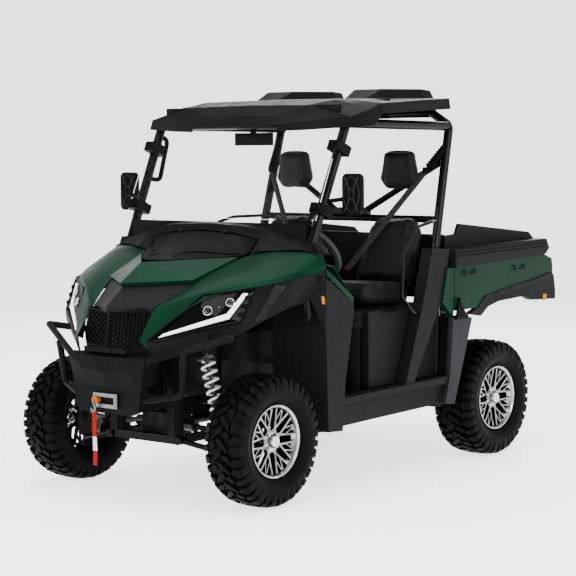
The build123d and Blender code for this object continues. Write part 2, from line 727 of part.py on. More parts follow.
fascia_corners = {
    "nose": (1428, 244, 809), "lamp1": (1403, 283, 812), "lamp2": (1148, 610, 902),
    "lamp3": (1054, 629, 1064),
    "lip4": (860, 711, 1099), "lip5": (662, 731, 1131), "fold1": (1397, 264, 802), "fold2": (1145, 607, 850),
    "low1": (1389, 259, 728), "low2": (1293, 380, 762), "low3": (1041, 642, 899), "low4": (897, 682, 956),
    "low5": (751, 714, 987), "low6": (700, 722, 935), "low7": (662, 730, 820),
}
bull_r = 17
bull_end = (1247, 626, 834)
bull_root = (1180, rail_y, tower_z + 18)
with BuildPart() as front_fascia:
    facet_panel(
        fascia_corners,
        "low1 fold1 nose, fold1 lamp1 nose, low1 low2 fold2 fold1, fold1 fold2 lamp2 lamp1,"
        "fold2 low3 lamp3 lamp2, low3 low4 lip4 lamp3, low4 low5 lip5 lip4, low5 low6 low7 lip5",
        beak_wall,
    )
    rod(bull_end, bull_root, bull_r + 3, mode=Mode.SUBTRACT)
    add(headlamps.part, mode=Mode.SUBTRACT)
    add(front_fenders.part, mode=Mode.SUBTRACT)
    mirror(about=Plane.XZ)
save(front_fascia, "front_fascia")

with BuildPart() as front_mudguards:
    side_plate(
        ((654, 820), (648, 600), (640, 320), (523, 314), (500, 560), (430, 900), (430, 950),
         (600, 1060), (654, 1090)), (700, 730),
    )
    side_plate(
        ((654, 820), (648, 600), (640, 320), (628, 320), (636, 600), (642, 1040), (654, 1040)), (380, 700),
    )
    add(roll_cage.part, mode=Mode.SUBTRACT)
    mirror(about=Plane.XZ)
save(front_mudguards, "front_mudguards")

# each half of the grille lies in a plane that leans back and away from the centre
grille_foot = (1462, 0, 768)
grille_plane = Plane(origin=grille_foot, x_dir=(-43, 182, 0), z_dir=(30394, 7181, 5824))
grille_t = 12
grille_border = 11
cell_r = 12
web = 5                      # plastic between two cells
grille_outline = ((0, 768), (174, 768), (202, 822), (194, 957), (0, 942))


def on_grille(y, z):
    """A point of the grille's plane straight behind a given y and z."""
    normal = grille_plane.z_dir
    x = grille_foot[0] - (normal.Y * y + normal.Z * (z - grille_foot[2])) / normal.X
    local = grille_plane.to_local_coords(Vector(x, y, z))
    return (local.X, local.Y)


with BuildPart() as grille:
    with BuildSketch(grille_plane):
        with BuildLine():
            Polyline(*(on_grille(y, z) for y, z in grille_outline), close=True)
        make_face()
    extrude(amount=-grille_t)
    with BuildSketch(grille_plane) as cells:
        with Locations((96, 90)):
            with HexLocations(cell_r, 11, 12):
                RegularPolygon(cell_r - web / 2, 6, rotation=30, major_radius=False)
        with BuildSketch(mode=Mode.INTERSECT):
            with BuildLine():
                Polyline(*(on_grille(y, z) for y, z in grille_outline), close=True)
            make_face()
            offset(amount=-grille_border, kind=Kind.INTERSECTION, mode=Mode.REPLACE)
    extrude(cells.sketch, amount=-grille_t, mode=Mode.SUBTRACT)
    cut_at_centre()
    block((1354, 1384), (150, 170), (940, 960))
    block((1438, 1468), (0, 142), (747, 772))
    add(front_beak.part, mode=Mode.SUBTRACT)
    add(front_fenders.part, mode=Mode.SUBTRACT)
    mirror(about=Plane.XZ)
save(grille, "grille")


# ---------------------------------------------------------------- bumper and winch
bumper_x = (1424, 1456)
bumper_wall = 9
fairlead_z = 512
hook_y = -60
bumper_corners = {
    "top0": (1466, -5, 726), "top1": (1467, 150, 730), "top2": (1463, 262, 732), "mid0": (1480, -5, 652),
    "mid1": (1474, 150, 664), "low0": (1464, -5, 580), "low2": (1452, 228, 590),
    "back0": (1428, -5, 742), "back1": (1428, 150, 745), "back2": (1430, 262, 740),
}
with BuildPart() as front_bumper:
    facet_panel(
        bumper_corners,
        "low0 low2 mid1 mid0, mid0 mid1 top1 top0, low2 top2 mid1, mid1 top2 top1, top0 top1 back1 back0,"
        "top1 top2 back2 back1",
        bumper_wall,
    )
    cut_at_centre()
    cross_plate(
        ((0, 450), (150, 445), (215, 470), (226, 560), (258, 724), (0, 724)), bumper_x,
    )
    block((bumper_x[0], bumper_x[1] + 8), (-78, 78), (fairlead_z - 34, fairlead_z - 22))
    block((bumper_x[0], bumper_x[1] + 8), (-78, 78), (fairlead_z + 22, fairlead_z + 34))
    for y in (185, 215):
        block((rail_front_x - 8, bumper_x[0]), (y - 18, y + 6), (470, 510))
    block((rail_front_x - 25, rail_front_x + 20), (172, 221), (rail_top_z, 510))
    bent_tube(((1436, 236, 700), (1436, 262, 722), bull_end), bull_r, 20)
    bent_tube(((1436, 200, 520), (1345, 400, 556), (1366, 426, 772)), bull_r, 34)
    rod(bull_end, bull_root, bull_r)
    add(frame.part, mode=Mode.SUBTRACT)
    mirror(about=Plane.XZ)
save(front_bumper, "front_bumper")

with BuildPart() as winch:
    rod((1330, -70, fairlead_z), (1330, 70, fairlead_z), 38)
    for s in (1, -1):
        y = sorted((s * 70, s * 130))
        block((1288, 1372), y, (fairlead_z - 46, fairlead_z + 46))
    block((1372, bumper_x[0]), (-120, 120), (fairlead_z - 46, fairlead_z - 30))
    block((bumper_x[1] + 8 + fit, bumper_x[1] + 14), (-82, 82), (fairlead_z - 36, fairlead_z + 36))
    block((bumper_x[1] + 14, bumper_x[1] + 34), (hook_y - 6, hook_y + 6), (fairlead_z - 14, fairlead_z + 14))
    rod((hook_x - 12, hook_y, fairlead_z - 34), (hook_x - 12, hook_y, fairlead_z + 10), 12)
    block((hook_x - 20, hook_x - 14), (hook_y - 13, hook_y + 13), (196, fairlead_z - 30))
    add(front_bumper.part, mode=Mode.SUBTRACT)
save(winch, "winch")

with BuildPart() as radiator:
    block((1288, 1334), (-190, 190), (tower_z - 70, 955))
    block((1180, 1288), (-190, -150), (tower_z + 36, tower_z + 60))
    block((1180, 1288), (150, 190), (tower_z + 36, tower_z + 60))
save(radiator, "radiator")

# ---------------------------------------------------------------- roof, glass and mirrors
# columns: x; centre z; shoulder y, z; edge y, z; edge foot y, z
roof_rows = (
    (502, 1858, 180, 1856, 296, 1852, 300, 1818),
    (470, 1900, 220, 1896, 440, 1866, 450, 1822),
    (396, 1956, 400, 1950, 690, 1888, 709, 1836),
    (232, 1986, 460, 1980, 700, 1930, 712, 1842),
    (147, 1990, 470, 1986, 698, 1958, 706, 1904),
    (-522, 1996, 470, 1998, 655, 1994, 664, 1936),
    (-600, 1992, 450, 1996, 560, 1990, 570, 1945),
    (-722, 1990, 300, 1994, 400, 1990, 405, 1948),
)
# columns: x; inner y, outer y; top z
hump_rows = ((-120, 245, 385, 1990), (-250, 215, 400, 2046), (-610, 215, 400, 2052), (-712, 230, 393, 2046))
roof_t = 8


def roof_sections(inset):
    sections = []
    for x, z0, y1, z1, y2, z2, y3, z3 in roof_rows:
        y = inset
        sections.append((x, ((0, z3), (0, z0 - y), (y1, z1 - y), (y2 - y, z2 - y), (y3 - y, z3))))
    return sections


with BuildPart() as roof_panel:
    section_loft(roof_sections(0))
    section_loft(
        [(x, ((y0 - 40, 1960), (y0, z), (y1, z), (y1 + 50, 1960))) for x, y0, y1, z in hump_rows]
    )
    section_loft(roof_sections(roof_t), mode=Mode.SUBTRACT)
    block((-560, -540), (0, 560), (1944, 1992))
    block((-60, -40), (0, 600), (header_z + cage_r, 1985))
    block((pillar_top[0] - 12, pillar_top[0] + 8), (0, 600), (header_z + cage_r, 1950))
    mirror(about=Plane.XZ)
    add(roll_cage.part, mode=Mode.SUBTRACT)
save(roof_panel, "roof_panel")

glass_t = 5
glass_low = (609 + 34, 1372)
glass_high = (609 + 34 - 0.445 * 440, 1812)
with BuildPart() as windshield:
    side_plate(
        (
            glass_low, glass_high, (glass_high[0] - glass_t, glass_high[1]),
            (glass_low[0] - glass_t, glass_low[1]),
        ),
        (-655, 655),
    )
save(windshield, "windshield")

clamp_zs = (1729, 1419)
with BuildPart() as pillar_clamps:
    for z in clamp_zs:
        x = along(pillar_foot, pillar_top, (z - pillar_foot[2]) / (pillar_top[2] - pillar_foot[2]))[0]
        axis = Vector(pillar_top[0] - pillar_foot[0], 18, pillar_top[2] - pillar_foot[2])
        y = pillar_foot[1] + 18 * (z - pillar_foot[2]) / (pillar_top[2] - pillar_foot[2])
        with BuildSketch(Plane(origin=(x, y, z), x_dir=(0, 1, 0), z_dir=axis)):
            Rectangle(76, 100)
        extrude(amount=26, both=True)
    mirror(about=Plane.XZ)
    bent_tube(((402, -634, 1790), (330, -634, 1790), (400, -634, 1560), (500, -634, 1570)), 13, 30)
    add(roll_cage.part, mode=Mode.SUBTRACT)
    add(windshield.part, mode=Mode.SUBTRACT)
save(pillar_clamps, "pillar_clamps")

with BuildPart() as mirrors:
    for s in (1, -1):
        with BuildSketch(Plane.YZ.offset(478)):
            with Locations((s * 775, 1500)):
                RectangleRounded(118, 208, 30)
        extrude(amount=28)
        rod((545, s * 632, 1462), (490, s * 740, 1480), 11)
    block((330, 352), (-125, 125), (1745, 1812))
    block((338, 356), (-14, 14), (1812, header_z))
    add(roll_cage.part, mode=Mode.SUBTRACT)
save(mirrors, "mirrors")

# ---------------------------------------------------------------- cab floor and side panels
sill_in = 600
sill_out = 722
with BuildPart() as floor_pan:
    block((seat_base_rear_x, 500), (-sill_in, sill_in), (floor_z, floor_z + floor_t))
    side_plate(
        ((500, floor_z), (500, floor_z + floor_t), (628, 640), (628, 1059), (634, 1059), (634, 636)),
        (-594, 594),
    )
    add(roll_cage.part, mode=Mode.SUBTRACT)
    add(engine.part, mode=Mode.SUBTRACT)
    add(frame.part, mode=Mode.SUBTRACT)
save(floor_pan, "floor_pan")

with BuildPart() as sills:
    side_plate(((500, 476), (-416, 494), (-380, 350), (500, 331)), (sill_in + 50, sill_out))
    block((-380, 500), (sill_in, sill_in + 50), (floor_z, floor_z + 60))
    with BuildSketch(Plane.XZ.offset(-(sill_out - 20))):
        with BuildLine():
            Polyline((500, 430), (-400, 448), (-380, 350), (500, 331), close=True)
        make_face()
    extrude(amount=-40, taper=-20, mode=Mode.SUBTRACT)
    add(roll_cage.part, mode=Mode.SUBTRACT)
    add(frame.part, mode=Mode.SUBTRACT)
    mirror(about=Plane.XZ)
save(sills, "sills")

base_wall = 6
with BuildPart() as seat_base:
    with BuildSketch(Plane.XY.offset(floor_z + floor_t)):
        with Locations(((seat_base_front_x + seat_base_rear_x) / 2, 0)):
            RectangleRounded(seat_base_front_x - seat_base_rear_x, 2 * seat_base_half_y - 84, 90)
    extrude(amount=seat_base_top_z - 86 - floor_z - floor_t)
    with BuildSketch(Plane.XY.offset(seat_base_top_z - 86)):
        with Locations(((seat_base_front_x + seat_base_rear_x) / 2 + 4, 0)):
            RectangleRounded(seat_base_front_x - seat_base_rear_x + 8, 2 * seat_base_half_y - 64, 90)
    extrude(amount=86)
    with BuildSketch(Plane.XY.offset(floor_z + floor_t)):
        with Locations(((seat_base_front_x + seat_base_rear_x) / 2 - base_wall, 0)):
            RectangleRounded(
                seat_base_front_x - seat_base_rear_x - base_wall,
                2 * seat_base_half_y - 84 - 2 * base_wall, 84,
            )
    extrude(amount=seat_base_top_z - floor_z - floor_t - base_wall, mode=Mode.SUBTRACT)
    with BuildSketch(Plane.XY.offset(floor_z)):
        with Locations((seat_base_rear_x, 0)):
            Rectangle(60, 500)
    extrude(amount=500 - 86, mode=Mode.SUBTRACT)
    add(roll_cage.part, mode=Mode.SUBTRACT)
    add(engine.part, mode=Mode.SUBTRACT)
save(seat_base, "seat_base")

panel_y = (645, 700)
with BuildPart() as side_panels:
    side_plate(
        ((190, 488), (-416, 496), (-452, 812), (-346, 904), (-346, 1060), (-300, 1060), (-262, 884),
         (40, 884), (190, 884)), (598, 640),
    )
    side_plate(((-107, 497), (-416, 496), (-452, 812), (-346, 904), (-356, 911)), (640, panel_y[1]))
    side_plate(((-295, 754), (-436, 740), (-436, 623), (-325, 610)), (688, 701), mode=Mode.SUBTRACT)
    add(roll_cage.part, mode=Mode.SUBTRACT)
    add(seat_base.part, mode=Mode.SUBTRACT)
    add(sills.part, mode=Mode.SUBTRACT)
    mirror(about=Plane.XZ)
save(side_panels, "side_panels")

with BuildPart() as pillar_trims:
    side_plate(
        ((-31, 486), (-107, 486), (-364, 911), (-440, 1182), (-278, 1194), (-190, 900)), (648, 716),
    )
    add(roll_cage.part, mode=Mode.SUBTRACT)
    add(side_panels.part, mode=Mode.SUBTRACT)
    add(sills.part, mode=Mode.SUBTRACT)
    mirror(about=Plane.XZ)
save(pillar_trims, "pillar_trims")

with BuildPart() as rear_guards:
    side_plate(((-452, 813), (-633, 799), (-560, 600), (-462, 339), (-374, 349), (-418, 494)), (700, 732))
    side_plate(((-520, 806), (-530, 806), (-470, 600), (-424, 340), (-414, 340), (-460, 600)), (420, 700))
    add(sills.part, mode=Mode.SUBTRACT)
    add(side_panels.part, mode=Mode.SUBTRACT)
    add(frame.part, mode=Mode.SUBTRACT)
    add(roll_cage.part, mode=Mode.SUBTRACT)
    mirror(about=Plane.XZ)
save(rear_guards, "rear_guards")

with BuildPart() as rear_corner_panels:
    side_plate(((-358, 912), (-460, 844), (-462, 1078), (-400, 1085)), (690, 728))
    side_plate(((-346, 905), (-452, 814), (-460, 844), (-358, 912)), (690, 728))
    add(pillar_trims.part, mode=Mode.SUBTRACT)
    add(side_panels.part, mode=Mode.SUBTRACT)
    mirror(about=Plane.XZ)
save(rear_corner_panels, "rear_corner_panels")

# ---------------------------------------------------------------- seats and controls
cushion_gap = 0.5
back_foot = (-236, 990)
back_head = (-400, 1386)
back_t = 96
with BuildPart() as seat_cushions:
    side_plate(
        ((95, seat_base_top_z + cushion_gap), (140, 930), (110, 1012), (-100, 1006), (-300, 984),
         (-330, seat_base_top_z + cushion_gap)), (seat_y - 186, seat_y + 222),
    )
    mirror(about=Plane.XZ)
save(seat_cushions, "seat_cushions")

lean = Vector(back_head[0] - back_foot[0], 0, back_head[1] - back_foot[1])
back_plane = Plane(
    origin=(back_foot[0], seat_y, back_foot[1]), x_dir=(0, 1, 0), z_dir=Vector(0, 1, 0).cross(lean),
)
with BuildPart() as seat_backs:
    with BuildSketch(back_plane):
        with BuildLine():
            Polyline(
                (-215, 4), (-215, 290), (-165, lean.length), (165, lean.length), (215, 290), (215, 4),
                close=True,
            )
        make_face()
    extrude(amount=-back_t)
    add(seat_cushions.part, mode=Mode.SUBTRACT)
    add(seat_base.part, mode=Mode.SUBTRACT)
    add(roll_cage.part, mode=Mode.SUBTRACT)
    mirror(about=Plane.XZ)
save(seat_backs, "seat_backs")

with BuildPart() as headrests:
    with BuildSketch(Plane.YZ.offset(-420)):
        with BuildLine():
            Polyline(
                (seat_y - 70, 1512), (seat_y + 70, 1512), (seat_y + 108, 1560), (seat_y + 76, 1704),
                (seat_y - 76, 1704), (seat_y - 108, 1560), close=True,
            )
        make_face()
    extrude(amount=-90)
    for s in (1, -1):
        rod((-470, seat_y + s * 45, 1380), (-468, seat_y + s * 45, 1520), 6)
    add(seat_backs.part, mode=Mode.SUBTRACT)
    add(roll_cage.part, mode=Mode.SUBTRACT)
    mirror(about=Plane.XZ)
save(headrests, "headrests")

wheel_centre = (300, seat_y - 20, 1190)
wheel_tilt = Vector(-0.80, 0, 0.60)
column_end = (560, seat_y - 20, 1190 - 260 * 0.75)
with BuildPart() as steering_column:
    rod(column_end, along(column_end, wheel_centre, 0.962), 22)
    block((540, 634), (seat_y - 50, seat_y + 10), (column_end[2] - 40, column_end[2] + 30))
    add(floor_pan.part, mode=Mode.SUBTRACT)
    add(dash_cowl.part, mode=Mode.SUBTRACT)
save(steering_column, "steering_column")

with BuildPart() as steering_wheel:
    with BuildSketch(Plane(origin=wheel_centre, x_dir=(0, 1, 0), z_dir=wheel_tilt)):
        Circle(175)
        Circle(149, mode=Mode.SUBTRACT)
        Circle(48)
        with PolarLocations(0, 3, start_angle=90):
            with Locations((98, 0)):
                Rectangle(108, 30)
    extrude(amount=12, both=True)
save(steering_wheel, "steering_wheel")

with BuildPart() as hip_bars:
    bent_tube(
        ((waist_x, 612, waist_z), (-288, 700, 1334), (-154, 700, 1310), (-30, 700, 1180),
         (-21, 700, 950), (-120, 700, 865), (-190, 690, 836)), 9, 30,
    )
    add(roll_cage.part, mode=Mode.SUBTRACT)
    add(pillar_trims.part, mode=Mode.SUBTRACT)
    add(side_panels.part, mode=Mode.SUBTRACT)
    mirror(about=Plane.XZ)
save(hip_bars, "hip_bars")

strap_w = 46
strap_t = 3
with BuildPart() as seat_belts:
    upper = (-452, 548, 1602)
    buckle = (-226, 172, 1052)
    run = Vector(*buckle) - Vector(*upper)
    with BuildSketch(Plane(origin=upper, x_dir=(0.2, 1, 0.68), z_dir=run)):
        Rectangle(strap_w, strap_t)
    extrude(amount=run.length)
    rod((-577, 600, 1740), (-468, 556, 1620), 20)
    block((-480, -440), (530, 570), (1590, 1625))
    block((-246, -214), (156, 184), (seat_base_top_z + fit, 1075))
    add(roll_cage.part, mode=Mode.SUBTRACT)
    add(seat_cushions.part, mode=Mode.SUBTRACT)
    add(seat_backs.part, mode=Mode.SUBTRACT)
    mirror(about=Plane.XZ)
save(seat_belts, "seat_belts")

with BuildPart() as exhaust:
    rod((-1176, -230, 560), (-1176, 230, 560), 68)
    rod((engine_x[0], 60, 560), (-1120, 60, 560), 22)
    for s in (1, -1):
        y = sorted((s * 190, s * 206))
        block((-1122, rear_posts[1] - post_half), y, (545, 575))
save(exhaust, "exhaust")

# ---------------------------------------------------------------- cargo bed
lug_y = (rail_out + 4, rail_out + 18)
gate_x = bed_rear_x - 2
gate_pin_x = gate_x - gate_t / 2
gate_half_y = bed_inner_y - 8
gate_top_z = 1188
gate_pin_r = 7
floor_end_x = gate_pin_x + gate_t
with BuildPart() as bed_box:
    floor_level = (bed_floor_z, bed_floor_z + bed_floor_t)
    block((floor_end_x, bed_front_x - 26), (-bed_inner_y, bed_inner_y), floor_level)
    block((bed_front_x - 42, bed_front_x - 26), (-bed_inner_y, bed_inner_y), (bed_floor_z, 1256))
    for s in (1, -1):
        y = sorted((s * bed_inner_y, s * (bed_inner_y + bed_wall_t)))
        side_plate(
            ((-496, bed_floor_z), (-496, 1250), (-600, 1256), (-628, 1311), (-1346, 1238),
             (-1400, 1200), (bed_rear_x, 1190), (bed_rear_x, bed_floor_z)), y,
        )
        side_plate(
            (
                (bed_rear_x, bed_floor_z), (bed_rear_x, 950), (gate_pin_x - 18, 945),
                (gate_pin_x - 18, bed_floor_z),
            ),
            y,
        )
        lug = sorted((s * lug_y[0], s * lug_y[1]))
        block((bed_pivot[0] - 24, bed_pivot[0] + 24), lug, (bed_pivot[2] - 22, bed_floor_z))
        rod(
            (bed_pivot[0], s * (rail_y - 16), bed_pivot[2]),
            (bed_pivot[0], s * lug_y[1], bed_pivot[2]), bed_pin_r,
        )
        rod(
            (gate_pin_x, s * (bed_inner_y - 1), gate_pin_z), (gate_pin_x, s * (bed_inner_y + 17), gate_pin_z),
            gate_pin_r + fit, mode=Mode.SUBTRACT,
        )
save(bed_box, "bed_box")

wall_out = bed_inner_y + bed_wall_t
with BuildPart() as bed_side_panels:
    side_plate(
        ((-470, 1080), (-470, 846), (-690, 846), (-770, 912), (-1141, 945), (-1443, 1000),
         (-1482, 985), (-1470, 1080), (-1382, 1110)), (698, 726),
    )
    block((-1478, bed_rear_x - 2), (wall_out, 698), (952, 1080))
    mirror(about=Plane.XZ)
save(bed_side_panels, "bed_side_panels")

with BuildPart() as bed_trim:
    side_plate(((-470, 1180), (-1392, 1199), (-1423, 1143), (-1382, 1110), (-470, 1080)), (wall_out, 738))
    side_plate(
        ((-600, 819), (-690, 846), (-770, 912), (-1141, 945), (-1443, 1000), (-1482, 985),
         (tail_x, 900), (tail_x, 842), (-1240, 852), (-1160, 880), (-898, 869), (-790, 846), (-720, 800)),
        (698, 732),
    )
    add(bed_side_panels.part, mode=Mode.SUBTRACT)
    mirror(about=Plane.XZ)
save(bed_trim, "bed_trim")

with BuildPart() as tail_lamps:
    block((-1492, -1478), (652, 694), (965, 1065))
    mirror(about=Plane.XZ)
save(tail_lamps, "tail_lamps")

with BuildPart() as tailgate:
    block((gate_x - gate_t, gate_x), (-gate_half_y, gate_half_y), (gate_pin_z - gate_t / 2, gate_top_z))
    for s in (1, -1):
        rod(
            (gate_pin_x, s * (gate_half_y - 4), gate_pin_z),
            (gate_pin_x, s * (bed_inner_y + bed_wall_t - 1), gate_pin_z), gate_pin_r,
        )
save(tailgate, "tailgate")
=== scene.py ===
from math import cos, exp, pi, radians, sin, tan

import bmesh
import bpy
from mathutils import Matrix, Vector
from mathutils.bvhtree import BVHTree


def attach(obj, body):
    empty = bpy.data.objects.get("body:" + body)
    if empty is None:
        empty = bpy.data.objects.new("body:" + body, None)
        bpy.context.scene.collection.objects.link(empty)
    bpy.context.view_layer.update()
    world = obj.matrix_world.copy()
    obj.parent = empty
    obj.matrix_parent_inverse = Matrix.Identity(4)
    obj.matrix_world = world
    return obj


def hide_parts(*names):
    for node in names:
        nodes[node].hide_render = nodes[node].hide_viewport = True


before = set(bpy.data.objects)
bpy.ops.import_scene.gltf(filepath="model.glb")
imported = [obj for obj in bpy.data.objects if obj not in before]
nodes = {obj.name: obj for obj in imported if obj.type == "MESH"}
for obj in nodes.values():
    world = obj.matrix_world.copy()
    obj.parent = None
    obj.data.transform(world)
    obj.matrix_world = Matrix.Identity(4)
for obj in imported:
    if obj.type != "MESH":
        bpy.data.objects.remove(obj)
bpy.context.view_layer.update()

MM = 0.001
AHEAD, LEFT, UP = Vector((1, 0, 0)), Vector((0, 1, 0)), Vector((0, 0, 1))
SIDES = (1, -1)  # the vehicle's left, then its right

# ---------------- camera, floor and light
CAMERA_AT = (7.643, 6.277, 1.740)
CAMERA_AIM = (0.0676, 0.0, 0.9718)
CAMERA_ROLL = radians(-0.372)
CAMERA_LENS = 113.35  # mm, on a sensor 36 mm wide
SKY_STRENGTH = 2.7
FLOOR_GLOW = 1.9  # with this the paper meets the sky without a horizon


def put(name, data):
    """A new object in the scene."""
    thing = bpy.data.objects.new(name, data)
    bpy.context.collection.objects.link(thing)
    return thing


def aim_at(thing, place, aim):
    """Stands a camera or lamp at place and turns it towards aim."""
    thing.location = place
    thing.rotation_mode = "QUATERNION"
    thing.rotation_quaternion = (Vector(aim) - Vector(place)).to_track_quat("-Z", "Y")


camera = put("camera", bpy.data.cameras.new("camera"))
aim_at(camera, CAMERA_AT, CAMERA_AIM)
camera.rotation_quaternion @= Matrix.Rotation(CAMERA_ROLL, 3, "Z").to_quaternion()
camera.data.lens = CAMERA_LENS
camera.data.sensor_width = 36.0
camera.data.clip_end = 80.0
bpy.context.scene.camera = camera


def softbox(name, place, aim, size, power):
    """A rectangular studio light at place that shines towards aim."""
    lamp = bpy.data.lights.new(name, "AREA")
    lamp.shape = "RECTANGLE"
    lamp.size, lamp.size_y = size
    lamp.energy = power
    aim_at(put(name, lamp), place, aim)


softbox("light_top", (0.6, 0.4, 6.5), (0, 0, 1), (8.0, 7.0), 900)
softbox("light_front", (7.5, -1.0, 3.6), (0.6, 0, 0.8), (5.0, 3.0), 330)
softbox("light_left", (1.0, 7.5, 3.2), (0, 0, 0.8), (6.0, 2.6), 330)
softbox("light_back", (-7.0, -4.0, 4.5), (-0.5, 0, 1), (5.0, 3.0), 260)


def ramp_between(tree, level, stops):
    """A colour ramp of two stops, (position, colour), that follows a socket."""
    ramp = tree.nodes.new("ShaderNodeValToRGB")
    for element, (position, colour) in zip(ramp.color_ramp.elements, stops):
        element.position = position
        element.color = (*colour, 1)
    tree.links.new(level, ramp.inputs["Fac"])
    return ramp.outputs["Color"]


world = bpy.data.worlds.new("studio")
world.use_nodes = True
# bright round the horizon, dimmer overhead, as between the side walls of a white studio
sky = world.node_tree
direction = sky.nodes.new("ShaderNodeTexCoord")
split = sky.nodes.new("ShaderNodeSeparateXYZ")
sky.links.new(direction.outputs["Generated"], split.inputs["Vector"])
shade = ramp_between(sky, split.outputs["Z"], ((0.14, (1.0, 1.0, 1.0)), (0.5, (0.22, 0.225, 0.23))))
sky.links.new(shade, sky.nodes["Background"].inputs["Color"])
sky.nodes["Background"].inputs["Strength"].default_value = SKY_STRENGTH
bpy.context.scene.world = world


# ---------------- materials
NOISE, CELLS, WAVES = "ShaderNodeTexNoise", "ShaderNodeTexVoronoi", "ShaderNodeTexWave"
EDGE_REACH = 0.12  # how far past level an edge's pointiness is fully pale


def shader(name, colour, rough, metal=0.0, sockets=None):
    """A node material with one Principled shader, and its node tree."""
    material = bpy.data.materials.new(name)
    material.use_nodes = True
    tree = material.node_tree
    bsdf = tree.nodes["Principled BSDF"]
    plain = {"Base Color": (*colour, 1), "Roughness": rough, "Metallic": metal}
    for key, value in {**plain, **(sockets or {})}.items():
        bsdf.inputs[key].default_value = value
    return material, tree, bsdf


def texture(tree, kind, scale, detail=4.0):
    """A solid texture in the object's own metres."""
    place = tree.nodes.new("ShaderNodeTexCoord")
    node = tree.nodes.new(kind)
    node.inputs["Scale"].default_value = scale
    if kind == NOISE:
        node.inputs["Detail"].default_value = detail
    tree.links.new(place.outputs["Object"], node.inputs["Vector"])
    return node


def vary(tree, bsdf, dark, light, scale):
    """The base colour wanders between dark and light."""
    cloud = texture(tree, NOISE, scale)
    colour = ramp_between(tree, cloud.outputs["Fac"], ((0.35, dark), (0.68, light)))
    tree.links.new(colour, bsdf.inputs["Base Color"])
    return colour


def mottle(tree, bsdf, low, high, scale):
    """The roughness wanders between low and high."""
    cloud = texture(tree, NOISE, scale, 6.0)
    spread = tree.nodes.new("ShaderNodeMapRange")
    for key, value in (("From Min", 0.3), ("From Max", 0.7), ("To Min", low), ("To Max", high)):
        spread.inputs[key].default_value = value
    tree.links.new(cloud.outputs["Fac"], spread.inputs["Value"])
    tree.links.new(spread.outputs["Result"], bsdf.inputs["Roughness"])


def relief(tree, bsdf, level, depth, strength):
    """Bump from a socket, depth in metres, over any bump that is already there."""
    bump = tree.nodes.new("ShaderNodeBump")
    bump.inputs["Strength"].default_value = strength
    bump.inputs["Distance"].default_value = depth
    tree.links.new(level, bump.inputs["Height"])
    before = bsdf.inputs["Normal"].links
    if before:
        tree.links.new(before[0].from_socket, bump.inputs["Normal"])
    tree.links.new(bump.outputs["Normal"], bsdf.inputs["Normal"])


def grain(tree, bsdf, kind, scale, depth, strength):
    """Fine relief from a solid texture."""
    relief(tree, bsdf, texture(tree, kind, scale).outputs[0], depth, strength)


def paler_edges(tree, bsdf, colour, tint):
    """A paler tint along the raised edges."""
    shape = tree.nodes.new("ShaderNodeNewGeometry")
    edge = tree.nodes.new("ShaderNodeMapRange")
    edge.inputs["From Min"].default_value = 0.5 + EDGE_REACH * 0.4
    edge.inputs["From Max"].default_value = 0.5 + EDGE_REACH
    mix = tree.nodes.new("ShaderNodeMix")
    mix.data_type = "RGBA"
    factor, plain, tinted = mix.inputs[0], mix.inputs[6], mix.inputs[7]
    tinted.default_value = (*tint, 1)
    tree.links.new(shape.outputs["Pointiness"], edge.inputs["Value"])
    tree.links.new(edge.outputs["Result"], factor)
    tree.links.new(colour, plain)
    tree.links.new(mix.outputs[2], bsdf.inputs["Base Color"])


def moulded(name, dark, light, rough, depth=0.00035, size=900):
    """Moulded plastic with a fine leather-like grain."""
    material, tree, bsdf = shader(name, light, rough, 0.0, {"Specular IOR Level": 0.025})
    paler_edges(tree, bsdf, vary(tree, bsdf, dark, light, 7), tuple(c * 1.7 for c in light))
    mottle(tree, bsdf, rough - 0.06, rough + 0.08, 14)
    grain(tree, bsdf, CELLS, size, depth, 0.35)
    grain(tree, bsdf, NOISE, 16, 0.0012, 0.12)
    return material


def enamel(name, dark, light, rough, metal, coat, flake=0.0):
    """Painted metal or gloss paint, with a clear coat and a faint orange peel."""
    gloss = {"Coat Weight": coat, "Coat Roughness": 0.08, "Specular IOR Level": 0.04}
    material, tree, bsdf = shader(name, light, rough, metal, gloss)
    vary(tree, bsdf, dark, light, 3)
    mottle(tree, bsdf, rough - 0.03, rough + 0.05, 9)
    if flake:
        grain(tree, bsdf, CELLS, 2600, flake, 0.18)
    grain(tree, bsdf, NOISE, 160, 0.0002, 0.10)
    return material


def metalwork(name, dark, light, rough, size=260, depth=0.0003):
    """Bare or plated metal with a worked surface."""
    material, tree, bsdf = shader(name, light, rough, 1.0)
    paler_edges(tree, bsdf, vary(tree, bsdf, dark, light, 22), tuple(min(1, c * 1.5) for c in light))
    mottle(tree, bsdf, rough - 0.1, rough + 0.12, 30)
    grain(tree, bsdf, NOISE, size, depth, 0.3)
    return material


def clear(name, colour, rough=0.02, ior=1.49):
    """A clear plastic or glass, faintly smudged."""
    sockets = {"Transmission Weight": 1.0, "IOR": ior}
    material, tree, bsdf = shader(name, colour, rough, 0.0, sockets)
    mottle(tree, bsdf, rough, rough + 0.03, 6)
    return material


def glow(name, colour, strength):
    """A lamp strip's light guide: pale and faintly lit."""
    sockets = {"Coat Weight": 0.6, "Emission Color": (*colour, 1), "Emission Strength": strength}
    material, tree, bsdf = shader(name, colour, 0.2, 0.0, sockets)
    vary(tree, bsdf, tuple(c * 0.9 for c in colour), colour, 60)
    return material


